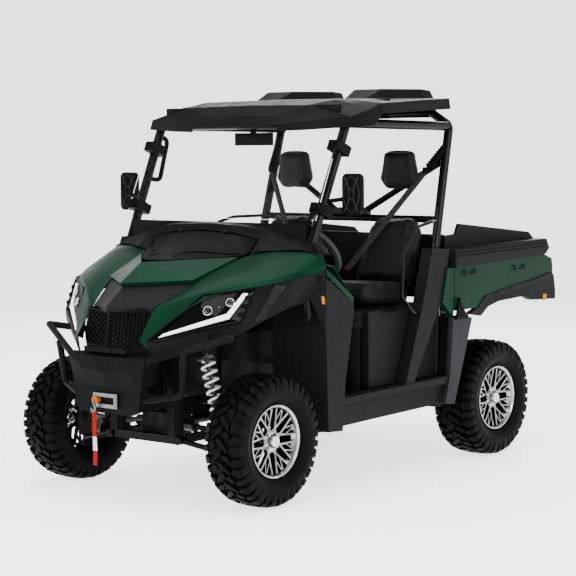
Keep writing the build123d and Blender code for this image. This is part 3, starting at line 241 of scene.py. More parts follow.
def cloth(name, dark, light, scale):
    """Woven webbing or cloth."""
    sockets = {"Sheen Weight": 0.03, "Specular IOR Level": 0.05}
    material, tree, bsdf = shader(name, light, 0.85, 0.0, sockets)
    vary(tree, bsdf, dark, light, 90)
    for angle in (0.0, pi / 2):
        weave = texture(tree, WAVES, scale)
        mapping = tree.nodes.new("ShaderNodeMapping")
        mapping.inputs["Rotation"].default_value = (angle * 0.5, angle, angle * 0.7)
        place = weave.inputs["Vector"].links[0].from_socket
        tree.links.new(place, mapping.inputs["Vector"])
        tree.links.new(mapping.outputs["Vector"], weave.inputs["Vector"])
        relief(tree, bsdf, weave.outputs["Fac"], 0.0006, 0.5)
    return material


def vinyl(name, dark, light, rough):
    """Seat vinyl with a pebbled leather grain."""
    sockets = {"Sheen Weight": 0.02, "Specular IOR Level": 0.10}
    material, tree, bsdf = shader(name, light, rough, 0.0, sockets)
    vary(tree, bsdf, dark, light, 10)
    mottle(tree, bsdf, rough - 0.05, rough + 0.05, 20)
    grain(tree, bsdf, CELLS, 420, 0.0004, 0.4)
    grain(tree, bsdf, NOISE, 28, 0.0006, 0.15)
    return material


# columns: material's name, its dark and light colour, roughness, then what its maker asks for
GREEN = enamel("green_paint", (0.0001, 0.0120, 0.0050), (0.0002, 0.0190, 0.0085), 0.38, 0.25, 0.0, 0.0003)
DARK = moulded("dark_plastic", (0.0026, 0.0027, 0.0030), (0.0044, 0.0045, 0.0050), 0.46)
GUARD = moulded("guard_plastic", (0.0075, 0.0078, 0.0085), (0.011, 0.0115, 0.0125), 0.48)
BLACK = moulded("black_plastic", (0.0008, 0.0008, 0.001), (0.0016, 0.0016, 0.0018), 0.42)
TUBE = enamel("cage_paint", (0.0012, 0.0012, 0.0014), (0.002, 0.002, 0.0023), 0.26, 0.0, 0.12)
CHASSIS = enamel("chassis_paint", (0.0015, 0.0015, 0.0018), (0.003, 0.003, 0.0033), 0.4, 0.0, 0.04)
CAST = metalwork("cast_metal", (0.006, 0.006, 0.007), (0.016, 0.016, 0.017), 0.55, 120, 0.001)
STEEL = metalwork("shaft_steel", (0.02, 0.02, 0.021), (0.045, 0.045, 0.047), 0.4)
ZINC = metalwork("zinc_plate", (0.07, 0.07, 0.072), (0.15, 0.15, 0.153), 0.34)
BRIGHT = metalwork("machined_alloy", (0.26, 0.26, 0.265), (0.42, 0.42, 0.43), 0.2, 500, 0.0001)
SPOKE = metalwork("spoke_alloy", (0.09, 0.09, 0.092), (0.27, 0.27, 0.275), 0.25, 500, 0.0001)
SPRING = enamel("spring_paint", (0.7, 0.7, 0.7), (0.82, 0.82, 0.81), 0.3, 0.0, 0.6)
PIPE = metalwork("exhaust_steel", (0.1, 0.09, 0.085), (0.2, 0.19, 0.18), 0.45)
TYRE = moulded("tyre_rubber", (0.0014, 0.0014, 0.0016), (0.003, 0.003, 0.0032), 0.44, 0.0005, 500)
GRIP = moulded("wheel_grip", (0.01, 0.01, 0.01), (0.016, 0.016, 0.017), 0.6)
VINYL = vinyl("seat_vinyl", (0.0028, 0.0029, 0.0032), (0.005, 0.0051, 0.0056), 0.5)
WEB = cloth("belt_web", (0.014, 0.0145, 0.016), (0.03, 0.031, 0.034), 900)
STRAP = cloth("hook_strap", (0.16, 0.0005, 0.0012), (0.26, 0.001, 0.003), 700)
PANE = clear("clear_sheet", (0.98, 0.99, 0.985), 0.01, 1.14)
LENS = clear("lamp_lens", (0.9, 0.92, 0.94))
LED = glow("led_strip", (0.95, 0.97, 1.0), 0.9)
AMBER = enamel("amber_lens", (0.26, 0.085, 0.0), (0.36, 0.125, 0.0), 0.3, 0.0, 0.05)
RED = enamel("red_plastic", (0.22, 0.001, 0.001), (0.32, 0.002, 0.002), 0.3, 0.0, 0.15)
ORANGE = enamel("orange_plastic", (0.24, 0.055, 0.0), (0.32, 0.08, 0.0), 0.4, 0.0, 0.05)
PALE = cloth("strap_label", (0.55, 0.55, 0.55), (0.7, 0.7, 0.7), 700)

# what isn't named here is DARK
finishes = (
    (GREEN, "front_fenders hood_centre rear_corner_panels bed_side_panels"), (GUARD, "rear_guards"),
    (TUBE, "roll_cage hip_bars"), (CHASSIS, "frame front_control_arms rear_control_arms floor_pan"),
    (CAST, "engine drivetrain knuckle_left knuckle_right rear_hub_carriers radiator"),
    (STEEL, "half_shafts steering_column shocks"), (SPRING, "coil_springs"), (PIPE, "exhaust"),
    (ZINC, "winch"), (BLACK, "grille mirrors pillar_clamps headlamps"), (RED, "tail_lamps"),
    (PANE, "windshield"), (VINYL, "seat_cushions seat_backs headrests"), (WEB, "seat_belts"),
    (GRIP, "steering_wheel"),
)
# columns: width of the rounded edges in metres, angle above which an edge is rounded, nodes
edges = (
    (0.004, 20, "hood_centre seat_base"), (0.002, 14, "front_fascia"), (0.004, 8, "roof_panel"),
    (0.003, 12, "front_beak dash_cowl front_bumper pillar_trims rear_guards rear_corner_panels"),
    (0.003, 14, "bed_side_panels bed_trim"), (0.003, 20, "side_panels front_mudguards"),
    (0.004, 14, "sills"), (0.002, 20, "tailgate"), (0.0015, 25, "bed_box"),
    (0.0012, 30, "headlamps"), (0.002, 25, "mirrors pillar_clamps floor_pan"),
)


def dress(piece, material):
    """Gives a piece its one material."""
    piece.data.materials.clear()
    piece.data.materials.append(material)


def soften(piece, width, angle=32):
    """Small rounded edges where a moulded or folded edge would have them."""
    bevel = piece.modifiers.new("edge", "BEVEL")
    bevel.width = width
    bevel.segments = 2
    bevel.limit_method = "ANGLE"
    bevel.angle_limit = radians(angle)
    bevel.harden_normals = True


looks = {name: look for look, names in finishes for name in names.split()}
for name, node in nodes.items():
    if name.startswith(("tyre_", "rim_")):
        dress(node, TYRE if name.startswith("tyre_") else BRIGHT)
    else:
        dress(node, looks.get(name, DARK))
for width, angle, names in edges:
    for name in names.split():
        soften(nodes[name], width, angle)


# ---------------- mesh makers
def new_piece(name, mesh, material, body, smooth=True):
    """A piece made of a mesh in the row frame, riding on a body."""
    mesh.polygons.foreach_set("use_smooth", [smooth] * len(mesh.polygons))
    piece = put(name, mesh)
    dress(piece, material)
    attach(piece, body)
    return piece


class Net:
    """Vertices and faces collected for one piece."""

    def __init__(self):
        self.verts, self.faces, self.slots = [], [], []

    def add(self, verts, faces, slot=0):
        """Adds vertices, and faces that number them from 0."""
        start = len(self.verts)
        self.verts += [Vector(v) for v in verts]
        self.faces += [tuple(start + i for i in f) for f in faces]
        self.slots += [slot] * len(faces)

    def ring_stack(self, rings, capped=False, slot=0):
        """Quads between closed rings of equal length; each ring is a list of points."""
        n = len(rings[0])
        faces = []
        for r in range(len(rings) - 1):
            for i in range(n):
                j = (i + 1) % n
                faces.append((r * n + i, r * n + j, (r + 1) * n + j, (r + 1) * n + i))
        if capped:
            faces.append(tuple(reversed(range(n))))
            faces.append(tuple((len(rings) - 1) * n + i for i in range(n)))
        self.add([p for ring in rings for p in ring], faces, slot)

    def prism(self, base, top, slot=0):
        """A closed solid between two polygons of equal length."""
        self.ring_stack([base, top], capped=True, slot=slot)

    def plate(self, outline, y0, y1):
        """A closed solid with an outline of (x, z) between two values of y."""
        self.prism([(x, y0, z) for x, z in outline], [(x, y1, z) for x, z in outline])

    def brick(self, x, y, z, slot=0):
        """A box between pairs of x, y and z."""
        base = [(x[0], y[0]), (x[1], y[0]), (x[1], y[1]), (x[0], y[1])]
        self.prism([(*p, z[0]) for p in base], [(*p, z[1]) for p in base], slot)

    def pair(self, x, y, z, slot=0):
        """A box and its mirror image."""
        self.brick(x, y, z, slot)
        self.brick(x, (-y[1], -y[0]), z, slot)

    def mirror(self):
        """Adds the mirror image of everything in the net."""
        start = len(self.verts)
        self.verts += [Vector((v.x, -v.y, v.z)) for v in self.verts]
        self.faces += [tuple(start + i for i in reversed(f)) for f in self.faces]
        self.slots += self.slots

    def make(self, name, materials, body, smooth=True):
        """The piece, with its faces' normals outward and a material for each slot in use."""
        materials = materials if isinstance(materials, list) else [materials]
        mesh = bpy.data.meshes.new(name)
        mesh.from_pydata([tuple(v) for v in self.verts], [], self.faces)
        mesh.validate()
        shaped = bmesh.new()
        shaped.from_mesh(mesh)
        bmesh.ops.recalc_face_normals(shaped, faces=shaped.faces)
        shaped.to_mesh(mesh)
        shaped.free()
        piece = new_piece(name, mesh, materials[0], body, smooth)
        for extra in materials[1:]:
            mesh.materials.append(extra)
        for polygon, slot in zip(mesh.polygons, self.slots):
            polygon.material_index = slot
        return piece


def turn(radius, angle, y, centre):
    """A point at an angle round a wheel's axle, y outwards from its middle."""
    return Vector((
        centre[0] + radius * sin(angle), centre[1] + y, centre[2] + radius * cos(angle)
    ))


def round_angles(steps):
    """The angles of equal steps round a circle."""
    return [2 * pi * k / steps for k in range(steps)]


def lathe(net, profile, centre, steps, slot=0):
    """A profile of (y, radius) turned round an axle along Y."""
    n = len(profile)
    verts, faces = [], []
    for i, angle in enumerate(round_angles(steps)):
        verts += [turn(r, angle, y, centre) for y, r in profile]
        after = (i + 1) % steps * n
        faces += [(i * n + j, i * n + j + 1, after + j + 1, after + j) for j in range(n - 1)]
    net.add(verts, faces, slot)


def hose(net, points, radius, steps=10, swell=None):
    """A round tube through points; swell may vary its radius along the way, from 0 to 1."""
    points = [Vector(p) for p in points]
    rings = []
    side = None
    last = len(points) - 1
    for i, point in enumerate(points):
        ahead = (points[min(i + 1, last)] - points[max(i - 1, 0)]).normalized()
        if side is None:
            side = ahead.cross(UP if abs(ahead.z) < 0.9 else AHEAD).normalized()
        side = (side - ahead * side.dot(ahead)).normalized()
        up = ahead.cross(side)
        r = radius * (swell(i / last) if swell else 1.0)
        rings.append([point + (side * cos(t) + up * sin(t)) * r for t in round_angles(steps)])
    net.ring_stack(rings, capped=True)


def curve(points, per=6):
    """A smooth run of points through the given ones."""
    points = [Vector(p) for p in points]
    padded = [points[0] * 2 - points[1]] + points + [points[-1] * 2 - points[-2]]
    out = []
    for i in range(1, len(padded) - 2):
        p0, p1, p2, p3 = padded[i - 1:i + 3]
        for k in range(per):
            t = k / per
            out.append(0.5 * ((2 * p1) + (p2 - p0) * t + (2 * p0 - 5 * p1 + 4 * p2 - p3) * t * t
                              + (3 * p1 - p0 - 3 * p2 + p3) * t ** 3))
    return out + [points[-1]]


# ---------------- tyres
PITCHES = 18  # lug patterns round each tyre
LUG_DRAFT = 0.035  # in pitches, how far a lug's top draws in at each end
LUG_ROOT = 0.004  # how deep a lug starts below the carcass
LATHE_STEPS = 72

# columns: share of the tyre's width, radius
CROWN = (
    (0.0, 0.3245), (0.26, 0.3225), (0.40, 0.3165), (0.47, 0.307), (0.5, 0.290), (0.505, 0.262),
)
CARCASS = (
    (0.0, 0.305), (0.26, 0.303), (0.40, 0.298), (0.455, 0.288), (0.482, 0.272), (0.494, 0.250),
)
SIDEWALL = ((-0.36, 0.178), (-0.40, 0.186), (-0.455, 0.205), (-0.492, 0.232))
RIDGES = ((0.437, 0.192), (0.437, 0.198), (0.4925, 0.241))

# a lug's rows; columns: share of the width, start and end round the wheel in pitches
LUGS = (
    ((-0.055, 0.02, 0.36), (0.04, 0.10, 0.44), (0.17, 0.34, 0.64), (0.235, 0.50, 0.72)),
    ((0.10, 0.72, 0.98), (0.20, 0.74, 1.10), (0.27, 0.86, 1.14)),
    ((0.285, 0.42, 0.66), (0.36, 0.36, 0.78), (0.44, 0.36, 0.82), (0.492, 0.38, 0.82),
     (0.505, 0.40, 0.80)),
    ((0.315, -0.06, 0.22), (0.40, -0.10, 0.24), (0.46, -0.10, 0.24), (0.498, -0.08, 0.22)),
)


def on_curve(table, v):
    """The radius at a share v of the width, between the table's rows."""
    v = abs(v)
    for (v0, r0), (v1, r1) in zip(table, table[1:]):
        if v <= v1:
            return r0 + (r1 - r0) * (v - v0) / (v1 - v0)
    return table[-1][1]


def lug(net, rows, offset, side, half, centre):
    """One lug, open at its root, from rows across the tyre."""
    step = 2 * pi / PITCHES
    top, base = [], []
    for v, u0, u1 in rows:
        crown, root = on_curve(CROWN, v), on_curve(CARCASS, v) - LUG_ROOT
        out = side * 2 * half * min(v, 0.497)
        for u, u_top in ((u0, u0 + LUG_DRAFT), (u1, u1 - LUG_DRAFT)):
            top.append(turn(crown, (offset + u_top) * step, out, centre))
            base.append(turn(root, (offset + u) * step, out * 0.995, centre))
    m = 2 * len(rows)
    faces = []
    for a in range(0, m - 2, 2):
        b, c, d = a + 1, a + 3, a + 2
        faces += [(a, b, c, d), (a, d, d + m, a + m), (b, b + m, c + m, c)]
    faces += [(0, m, m + 1, 1), (m - 2, m - 1, 2 * m - 1, 2 * m - 2)]
    net.add(top + base, faces)


def tyre(name, centre, width, body):
    """A mud tyre: a turned carcass with moulded lugs on the crown and the shoulders."""
    net = Net()
    half = width / 2
    profile = list(SIDEWALL) + [(-v, r) for v, r in reversed(CARCASS)]
    profile += [(-y, r) for y, r in reversed(profile)][1:]
    lathe(net, [(2 * y * half, r) for y, r in profile], centre, LATHE_STEPS)
    for share, ridge in RIDGES:
        for side in SIDES:
            y = side * 2 * half * share
            band = [(y, ridge - 0.0025), (y + side * 0.0022, ridge), (y, ridge + 0.0025)]
            lathe(net, band, centre, LATHE_STEPS)
    for pitch in range(PITCHES):
        for side in SIDES:
            for rows in LUGS:
                lug(net, rows, pitch + (0.5 if side < 0 else 0.0), side, half, centre)
    piece = net.make(name, TYRE, body)
    soften(piece, 0.0022, 28)
    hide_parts(name.replace("tread", "tyre"))


# ---------------- rims
HUB_DEPTH = 0.030  # from the wheel's face back to the hub's
# a strut's two ends: radius, angle, half-width, depth behind the face; then its thickness
STRUTS = (
    ((0.046, 0.36, 0.0055, HUB_DEPTH), (0.066, 0.0, 0.0055, HUB_DEPTH), 0.022),
    ((0.064, 0.0, 0.0055, HUB_DEPTH), (0.160, 0.285, 0.0048, 0.012), 0.02),
    ((0.100, 0.165, 0.0034, 0.024), (0.158, 0.02, 0.0034, 0.014), 0.014),
)
# columns: height over the hub's face, radius
HUB = ((-0.03, 0.056), (-0.002, 0.054), (0.0, 0.05), (0.0, 0.034))
CAP = ((0.0, 0.033), (0.02, 0.031), (0.027, 0.026), (0.029, 0.0))


def stud(net, at, radius, corners, low, high):
    """A nut's or bolt's head along Y, round a point on the wheel's middle plane."""
    ring = [at + Vector((radius * cos(t), low, radius * sin(t))) for t in round_angles(corners)]
    net.prism(ring, [p + Vector((0, high, 0)) for p in ring])


def strut(net, inner, outer, thickness, turned, centre, face_y, side):
    """One spoke's arm between two ends of the STRUTS table, leaning away from angle turned."""
    angle, lean = turned
    (r0, a0, w0, d0), (r1, a1, w1, d1) = inner, outer
    start = turn(r0, angle + lean * a0, 0, (0, 0, 0))
    end = turn(r1, angle + lean * a1, 0, (0, 0, 0))
    y0, y1 = face_y - side * d0, face_y - side * d1
    across = (end - start).normalized().cross(LEFT)
    waist = (w0 + w1) / 2 * 0.92
    rings = []
    for point, w, y in ((start, w0, y0), ((start + end) / 2, waist, (y0 + y1) / 2), (end, w1, y1)):
        at = Vector(centre) + point
        lift = Vector((0, y, 0))
        back = Vector((0, y - side * thickness, 0))
        foot = across * w * 1.3
        rings.append([at + across * w + lift, at - across * w + lift, at - foot + back, at + foot + back])
    net.ring_stack(rings, capped=True)


def rim(name, centre, width, side, body):
    """A cast wheel: barrel, stepped lip, eight forked spokes, hub, cap and nuts."""
    face_y = side * (width / 2 - 0.022)
    hub_y = face_y - side * HUB_DEPTH
    barrel = [(face_y - side * depth, r) for depth, r in (
        (0.0, 0.1765), (0.0, 0.172), (0.006, 0.165), (0.022, 0.160), (0.034, 0.152),
        (width - 0.07, 0.148), (width - 0.05, 0.170), (width - 0.046, 0.1765),
    )]
    net, spokes = Net(), Net()
    lathe(net, barrel[:5], centre, 96)
    lathe(net, barrel[4:], centre, 96, 1)
    for k in range(8):
        angle = pi / 4 * k + pi / 8
        for lean in SIDES:
            for inner, outer, thickness in STRUTS:
                strut(spokes, inner, outer, thickness, (angle, lean), centre, face_y, side)
    lathe(net, [(hub_y + side * y, r) for y, r in HUB], centre, 48)
    lathe(net, [(hub_y + side * y, r) for y, r in CAP], centre, 40)
    for k in range(4):
        stud(net, turn(0.0425, pi / 2 * k + pi / 4, 0, centre), 0.0068, 6, hub_y, side * 0.012)
    for angle in round_angles(24):
        stud(net, turn(0.1685, angle, 0, centre), 0.0028, 8, face_y - side * 0.004, side * 0.004)
    lip = net.make(name + "_barrel", [BRIGHT, BLACK], body)
    soften(lip, 0.0008)
    web = spokes.make(name + "_spokes", [SPOKE, BLACK], body, smooth=False)
    for face in web.data.polygons:
        face.material_index = 0 if face.normal.y * side > 0.5 else 1
    soften(web, 0.001)
    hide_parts(name)


AXLE_Z = 0.325
# columns: position, x and y of the wheel's middle, width, side
wheels = (
    ("front_left", 1.033, 0.634, 0.220, 1), ("front_right", 1.033, -0.634, 0.220, -1),
    ("rear_left", -0.897, 0.620, 0.248, 1), ("rear_right", -0.897, -0.620, 0.248, -1),
)
for name, x, y, width, side in wheels:
    tyre("tread_" + name, (x, y, AXLE_Z), width, "wheel_" + name)
    rim("rim_" + name, (x, y, AXLE_Z), width, side, "wheel_" + name)


# ---------------- front body
CREASE = 0.85
PANEL_LEVELS = 3


def panel(name, corners, facets, creases, wall, material, node, body):
    """A smooth shell on named corners in mm, mirrored, with creases along named edges."""
    verts, faces, sharp = [], [], []
    for side in SIDES:
        at = {}
        for key, (x, y, z) in corners.items():
            point = Vector((x, side * y, z)) * MM
            if y == 0 and side == -1:
                at[key] = verts.index(Vector((x, 0, z)) * MM)
            else:
                at[key] = len(verts)
                verts.append(point)
        for facet in facets.split(","):
            keys = facet.split()
            faces.append([at[k] for k in (keys if side == 1 else reversed(keys))])
        for run in creases.split(","):
            keys = run.split()
            sharp += [(at[a], at[b]) for a, b in zip(keys, keys[1:])]
    mesh = bpy.data.meshes.new(name)
    mesh.from_pydata([tuple(v) for v in verts], [], faces)
    shaped = bmesh.new()
    shaped.from_mesh(mesh)
    layer = shaped.edges.layers.float.new("crease_edge")
    shaped.verts.ensure_lookup_table()
    for edge in shaped.edges:
        if edge.is_boundary:
            edge[layer] = 1.0
    for a, b in sharp:
        shaped.edges.get((shaped.verts[a], shaped.verts[b]))[layer] = CREASE
    shaped.to_mesh(mesh)
    shaped.free()
    piece = new_piece(name, mesh, material, body)
    smooth = piece.modifiers.new("smooth", "SUBSURF")
    smooth.levels = smooth.render_levels = PANEL_LEVELS
    smooth.boundary_smooth = "PRESERVE_CORNERS"
    shell = piece.modifiers.new("wall", "SOLIDIFY")
    shell.thickness = wall
    shell.offset = -1
    shell.use_even_offset = True
    soften(piece, 0.0018, 40)
    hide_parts(node)
    return piece


fender = panel(
    "front_fender_skins",
    {
        "tip": (1388, 255, 736), "start": (1430, 240, 812), "knee": (1446, 215, 815),
        "top": (1338, 206, 961), "fold1": (1336, 236, 961), "fold2": (1199, 398, 1051),
        "fold3": (1047, 612, 1083), "fold4": (845, 702, 1130), "fold5": (650, 729, 1160),
        "lip2": (1209, 411, 1034), "lip3": (1054, 630, 1065), "lip4": (860, 713, 1100),
        "lip5": (655, 733, 1134), "in2": (1137, 292, 1077), "in3": (1000, 316, 1131),
        "in4": (856, 341, 1188), "in5": (785, 343, 1196), "in6": (798, 415, 1216),
        "in7": (722, 616, 1227), "in8": (684, 704, 1204), "in9": (650, 706, 1200),
        "crown2": (1150, 392, 1086), "crown3": (1000, 500, 1142), "crown4": (857, 575, 1198),
    },
    "tip start knee, knee start fold1 top, start lip2 fold2 fold1, lip2 lip3 fold3 fold2,"
    "lip3 lip4 fold4 fold3, lip4 lip5 fold5 fold4, top fold1 fold2 crown2, top crown2 in2,"
    "crown2 fold2 fold3 crown3, in2 crown2 crown3 in3, crown3 fold3 fold4 crown4,"
    "in3 crown3 crown4 in4, in4 crown4 in6 in5, crown4 in7 in6, crown4 fold4 in8 in7,"
    "fold4 fold5 in9 in8",
    "fold1 fold2 fold3 fold4 fold5, top fold1, knee start",
    0.005, GREEN, "front_fenders", "root",
)
net = Net()
for side in SIDES:
    for sections in (
        [[(x, y, z), (x, y + 7, z - 4), (x, y + 7, z - 34), (x, y - 1, z - 34)]
         for x, y, z in ((656, 728, 1140), (600, 732, 1100), (430, 722, 985))],
        [[(x, y0, z + 6), (x, y1, z), (x, y1, z - 5), (x, y0, z)]
         for x, y0, y1, z in ((656, 650, 732, 1160), (600, 690, 736, 1146), (430, 700, 726, 982))],
    ):
        net.ring_stack([[Vector((x, side * y, z)) * MM for x, y, z in section]
                        for section in sections], capped=True)
tail = net.make("front_fender_tails", GREEN, "root", smooth=False)
soften(tail, 0.0015)
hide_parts("front_fenders")

lid = panel(
    "hood_lid_skin",
    {
        "nose": (1197, 0, 1178), "mid1": (1000, 0, 1216), "mid2": (847, 0, 1264),
        "mid3": (785, 0, 1294), "mid4": (743, 0, 1312), "edge1": (1000, 188, 1189),
        "out1": (847, 334, 1197), "out2": (785, 335, 1201), "out3": (743, 357, 1272),
        "half2": (847, 190, 1247), "half3": (785, 200, 1282), "half4": (743, 200, 1301),
    },
    "nose edge1 mid1, mid1 edge1 half2 mid2, edge1 out1 half2, mid2 half2 half3 mid3,"
    "half2 out1 out2 half3, mid3 half3 half4 mid4, half3 out2 out3 half4",
    "half2 half3",
    0.004, DARK, "hood_lid", "hood_lid",
)
net = Net()
for y in (-0.150, 0.150):
    near, far = y - 0.010, y + 0.010
    lathe(net, [(near, 0.0045), (near, 0.008), (far, 0.008), (far, 0.0045)], (0.739, 0, 1.313), 24)
    net.plate(((0.741, 1.302), (0.755, 1.302), (0.755, 1.312), (0.741, 1.312)), near, far)
barrel = net.make("hood_lid_barrels", DARK, "hood_lid")
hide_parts("hood_lid")


# ---------------- headlamps
LAMP_OUT = Vector((0.774, 0.492, 0.398)).normalized()
LAMP_ALONG = Vector((-222, 170, 221)).normalized()
LAMP_UP = LAMP_OUT.cross(LAMP_ALONG).normalized()
LAMP_STEPS = 40


def lamp_slab(net, corners, low, high):
    """A slab on both lamps' faces over corners in mm, between two heights in metres."""
    for side in SIDES:
        layers = []
        for lift in (low, high):
            spots = [Vector(p) * MM + LAMP_OUT * lift for p in corners]
            layers.append([(p.x, side * p.y, p.z) for p in spots])
        net.prism(*layers)


def lamp_ring(net, centre, profile):
    """A profile of (radius, lift) in metres turned round a point in mm on both lamps."""
    for side in SIDES:
        rings = []
        for radius, lift in profile:
            ring = []
            for t in round_angles(LAMP_STEPS):
                spot = Vector(centre) * MM + LAMP_OUT * lift
                spot += (LAMP_ALONG * cos(t) + LAMP_UP * sin(t)) * radius
                ring.append((spot.x, side * spot.y, spot.z))
            rings.append(ring)
        net.ring_stack(rings)


net = Net()
for corners in (
    ((1391, 286, 832), (1176, 551, 922), (1175, 534, 944), (1370, 303, 851)),
    ((1176, 551, 922), (1087, 595, 1039), (1100, 574, 1040), (1175, 534, 944)),
):
    lamp_slab(net, corners, -0.011, -0.003)
led_strip = net.make("led_strips", LED, "root", smooth=False)
soften(led_strip, 0.0012)
INNER_EYE, OUTER_EYE, SMALL_EYE = (1220, 453, 957), (1149, 534, 996), (1184, 494, 977)
net = Net()
for centre, radius in ((INNER_EYE, 0.024), (OUTER_EYE, 0.022)):
    lamp_ring(net, centre, [
        (radius, -0.012), (radius, -0.002), (radius - 0.0015, 0.0), (radius - 0.004, 0.0),
        (radius - 0.0055, -0.003), (radius - 0.0065, -0.008),
    ])
bezel = net.make("projector_rings", BRIGHT, "root")
net = Net()
quarter = [pi / 2 * i / 8 for i in range(9)]
for centre, radius in ((INNER_EYE, 0.0172), (OUTER_EYE, 0.0155), (SMALL_EYE, 0.006)):
    lamp_ring(net, centre,
              [(radius * cos(a), -0.009 + 0.45 * radius * sin(a)) for a in quarter])
eye = net.make("projector_lenses", LENS, "root")
net = Net()
lamp_slab(net, ((1236, 420, 976), (1209, 418, 1021), (1100, 560, 1046), (1130, 560, 985), (1200, 500, 925)),
          -0.0125, -0.0075)
lamp_slab(net, ((1403, 283, 815), (1149, 607, 906), (1150, 598, 914), (1394, 288, 824)),
          -0.012, -0.001)
shelf = net.make("lamp_shelves", GRIP, "root", smooth=False)
soften(shelf, 0.0015)


# ---------------- trim on the CAD's own faces
def side_plate(name, node, lift, material, slot, steps, corners):
    """A thin plate laid on a node's outer side over a quad of (x, z), on both sides."""
    a, b, c, d = (Vector(p) for p in corners)
    net = Net()
    n = steps + 1
    for side in SIDES:
        top, low = [], []
        for i in range(n):
            for j in range(n):
                u, v = i / steps, j / steps
                p = (a * (1 - u) + b * u) * (1 - v) + (d * (1 - u) + c * u) * v
                hit, spot, normal, _ = nodes[node].ray_cast(Vector((p.x, 1.2, p.y)), -LEFT)
                if not hit:
                    spot, normal = Vector((p.x, 0.73, p.y)), LEFT
                out, back = spot + normal * lift, spot - normal * 0.001
                top.append((out.x, side * out.y, out.z))
                low.append((back.x, side * back.y, back.z))
        faces = [(k, k + 1, k + n + 1, k + n) for i in range(steps) for k in range(i * n, i * n + steps)]
        border = list(range(n)) + [i * n + steps for i in range(1, n)]
        border += [steps * n + j for j in reversed(range(steps))]
        border += [i * n for i in reversed(range(1, steps))]
        for here, after in zip(border, border[1:] + border[:1]):
            faces.append((here, after, after + n * n, here + n * n))
        net.add(top + low, faces)
    piece = net.make(name, material, "bed" if node == "bed_trim" else "root", smooth=False)


# columns: name, the node that it lies on, its lift, material and slot, steps, corners
plates = [
    ("lamp_tail_bars", "front_fascia", 0.003, GUARD, "guard_plastic", 6,
     ((0.966, 1.074), (0.916, 1.066), (1.036, 0.908), (1.074, 0.906))),
    ("front_vents_high", "front_fascia", 0.002, BLACK, "grille_plastic", 6,
     ((0.725, 1.110), (0.684, 1.104), (0.700, 1.070), (0.702, 1.068))),
    ("front_vents_low", "front_fascia", 0.002, BLACK, "grille_plastic", 6,
     ((0.712, 1.052), (0.672, 1.046), (0.686, 1.014), (0.688, 1.012))),
    ("front_side_markers", "front_fascia", 0.004, AMBER, "lamp_lens", 3,
     ((0.688, 1.004), (0.670, 1.000), (0.666, 0.962), (0.684, 0.966))),
    ("rear_side_markers", "bed_trim", 0.004, AMBER, "lamp_lens", 3,
     ((-1.360, 0.878), (-1.398, 0.878), (-1.398, 0.842), (-1.360, 0.842))),
    ("lid_band", "seat_base", 0.004, DARK, "dark_plastic", 6,
     ((0.205, 0.878), (-0.075, 0.892), (-0.040, 0.806), (0.225, 0.806))),
    ("flare_caps", "bed_trim", 0.003, GUARD, "guard_plastic", 8,
     ((-0.900, 0.928), (-1.440, 0.992), (-1.440, 0.968), (-0.900, 0.908))),
]
for index, (z0, z1) in enumerate(((1.186, 1.180), (1.168, 1.162), (1.150, 1.144))):
    corners = ((-0.480, z0 - 0.006), (-1.385, z0 + 0.010), (-1.385, z1 + 0.010), (-0.480, z1 - 0.006))
    plates.append((f"bed_rail_rib_{index}", "bed_trim", 0.003, BLACK, "dark_plastic", 8, corners))
for row in plates:
    side_plate(*row)

net = Net()
rear_top, rear_low = Vector((1054, 628, 1064)), Vector((1149, 609, 903))
for share in (0.30, 0.54, 0.78):
    middle = rear_top.lerp(rear_low, share)
    lamp_slab(net, [middle + Vector(p) for p in ((34, -26, -4), (28, -24, 12), (-4, 0, 11), (2, 0, -5))],
              -0.008, 0.0015)
fin = net.make("lamp_steps", BLACK, "root", smooth=False)
net = Net()
lamp_slab(net, ((1084, 603, 1039), (1058, 624, 1059), (1147, 606, 908), (1172, 561, 921)),
          -0.0115, -0.004)
cheek = net.make("lamp_cheeks", GUARD, "root", smooth=False)


# ---------------- winch, hook and strap
net = Net()
lathe(net, [(-0.13, 0.0), (-0.13, 0.040), (-0.122, 0.045), (-0.078, 0.045), (-0.07, 0.038), (0.07, 0.038),
            (0.078, 0.045), (0.122, 0.045), (0.13, 0.040), (0.13, 0.0)], (1.330, 0, 0.512), 32)
net.brick((1.290, 1.452), (-0.12, 0.12), (0.467, 0.474))
drum = net.make("winch_drum", CAST, "root", smooth=False)
soften(drum, 0.002)
net = Net()
for y, z in (((-0.082, 0.082), (0.529, 0.548)), ((-0.082, 0.082), (0.476, 0.495)),
             ((-0.082, -0.058), (0.495, 0.529)), ((0.058, 0.082), (0.495, 0.529))):
    net.brick((1.4645, 1.4705), y, z)
for y in (-0.072, 0.072):
    for k in range(6):
        net.brick((1.4705, 1.4735), (y - 0.008, y + 0.008), (0.480 + k * 0.011, 0.4855 + k * 0.011))
lead = net.make("fairlead", ZINC, "root", smooth=False)
soften(lead, 0.0012)
HOOK_Y = -0.060
net = Net()
hose(net, curve([(x, HOOK_Y, 0.512) for x in (1.452, 1.470, 1.486)], 3), 0.019, 20)
stopper = net.make("cable_stopper", ORANGE, "root")
soften(stopper, 0.003, 40)
net = Net()
hose(net, curve([
    (1.486, HOOK_Y, 0.515), (1.4885, HOOK_Y, 0.500), (1.4885, -0.052, 0.484), (1.4885, -0.050, 0.468),
    (1.4885, HOOK_Y, 0.456), (1.4885, -0.071, 0.462), (1.4885, -0.072, 0.474)], 6), 0.0062, 12)
hook = net.make("winch_hook", ZINC, "root")
net = Net()
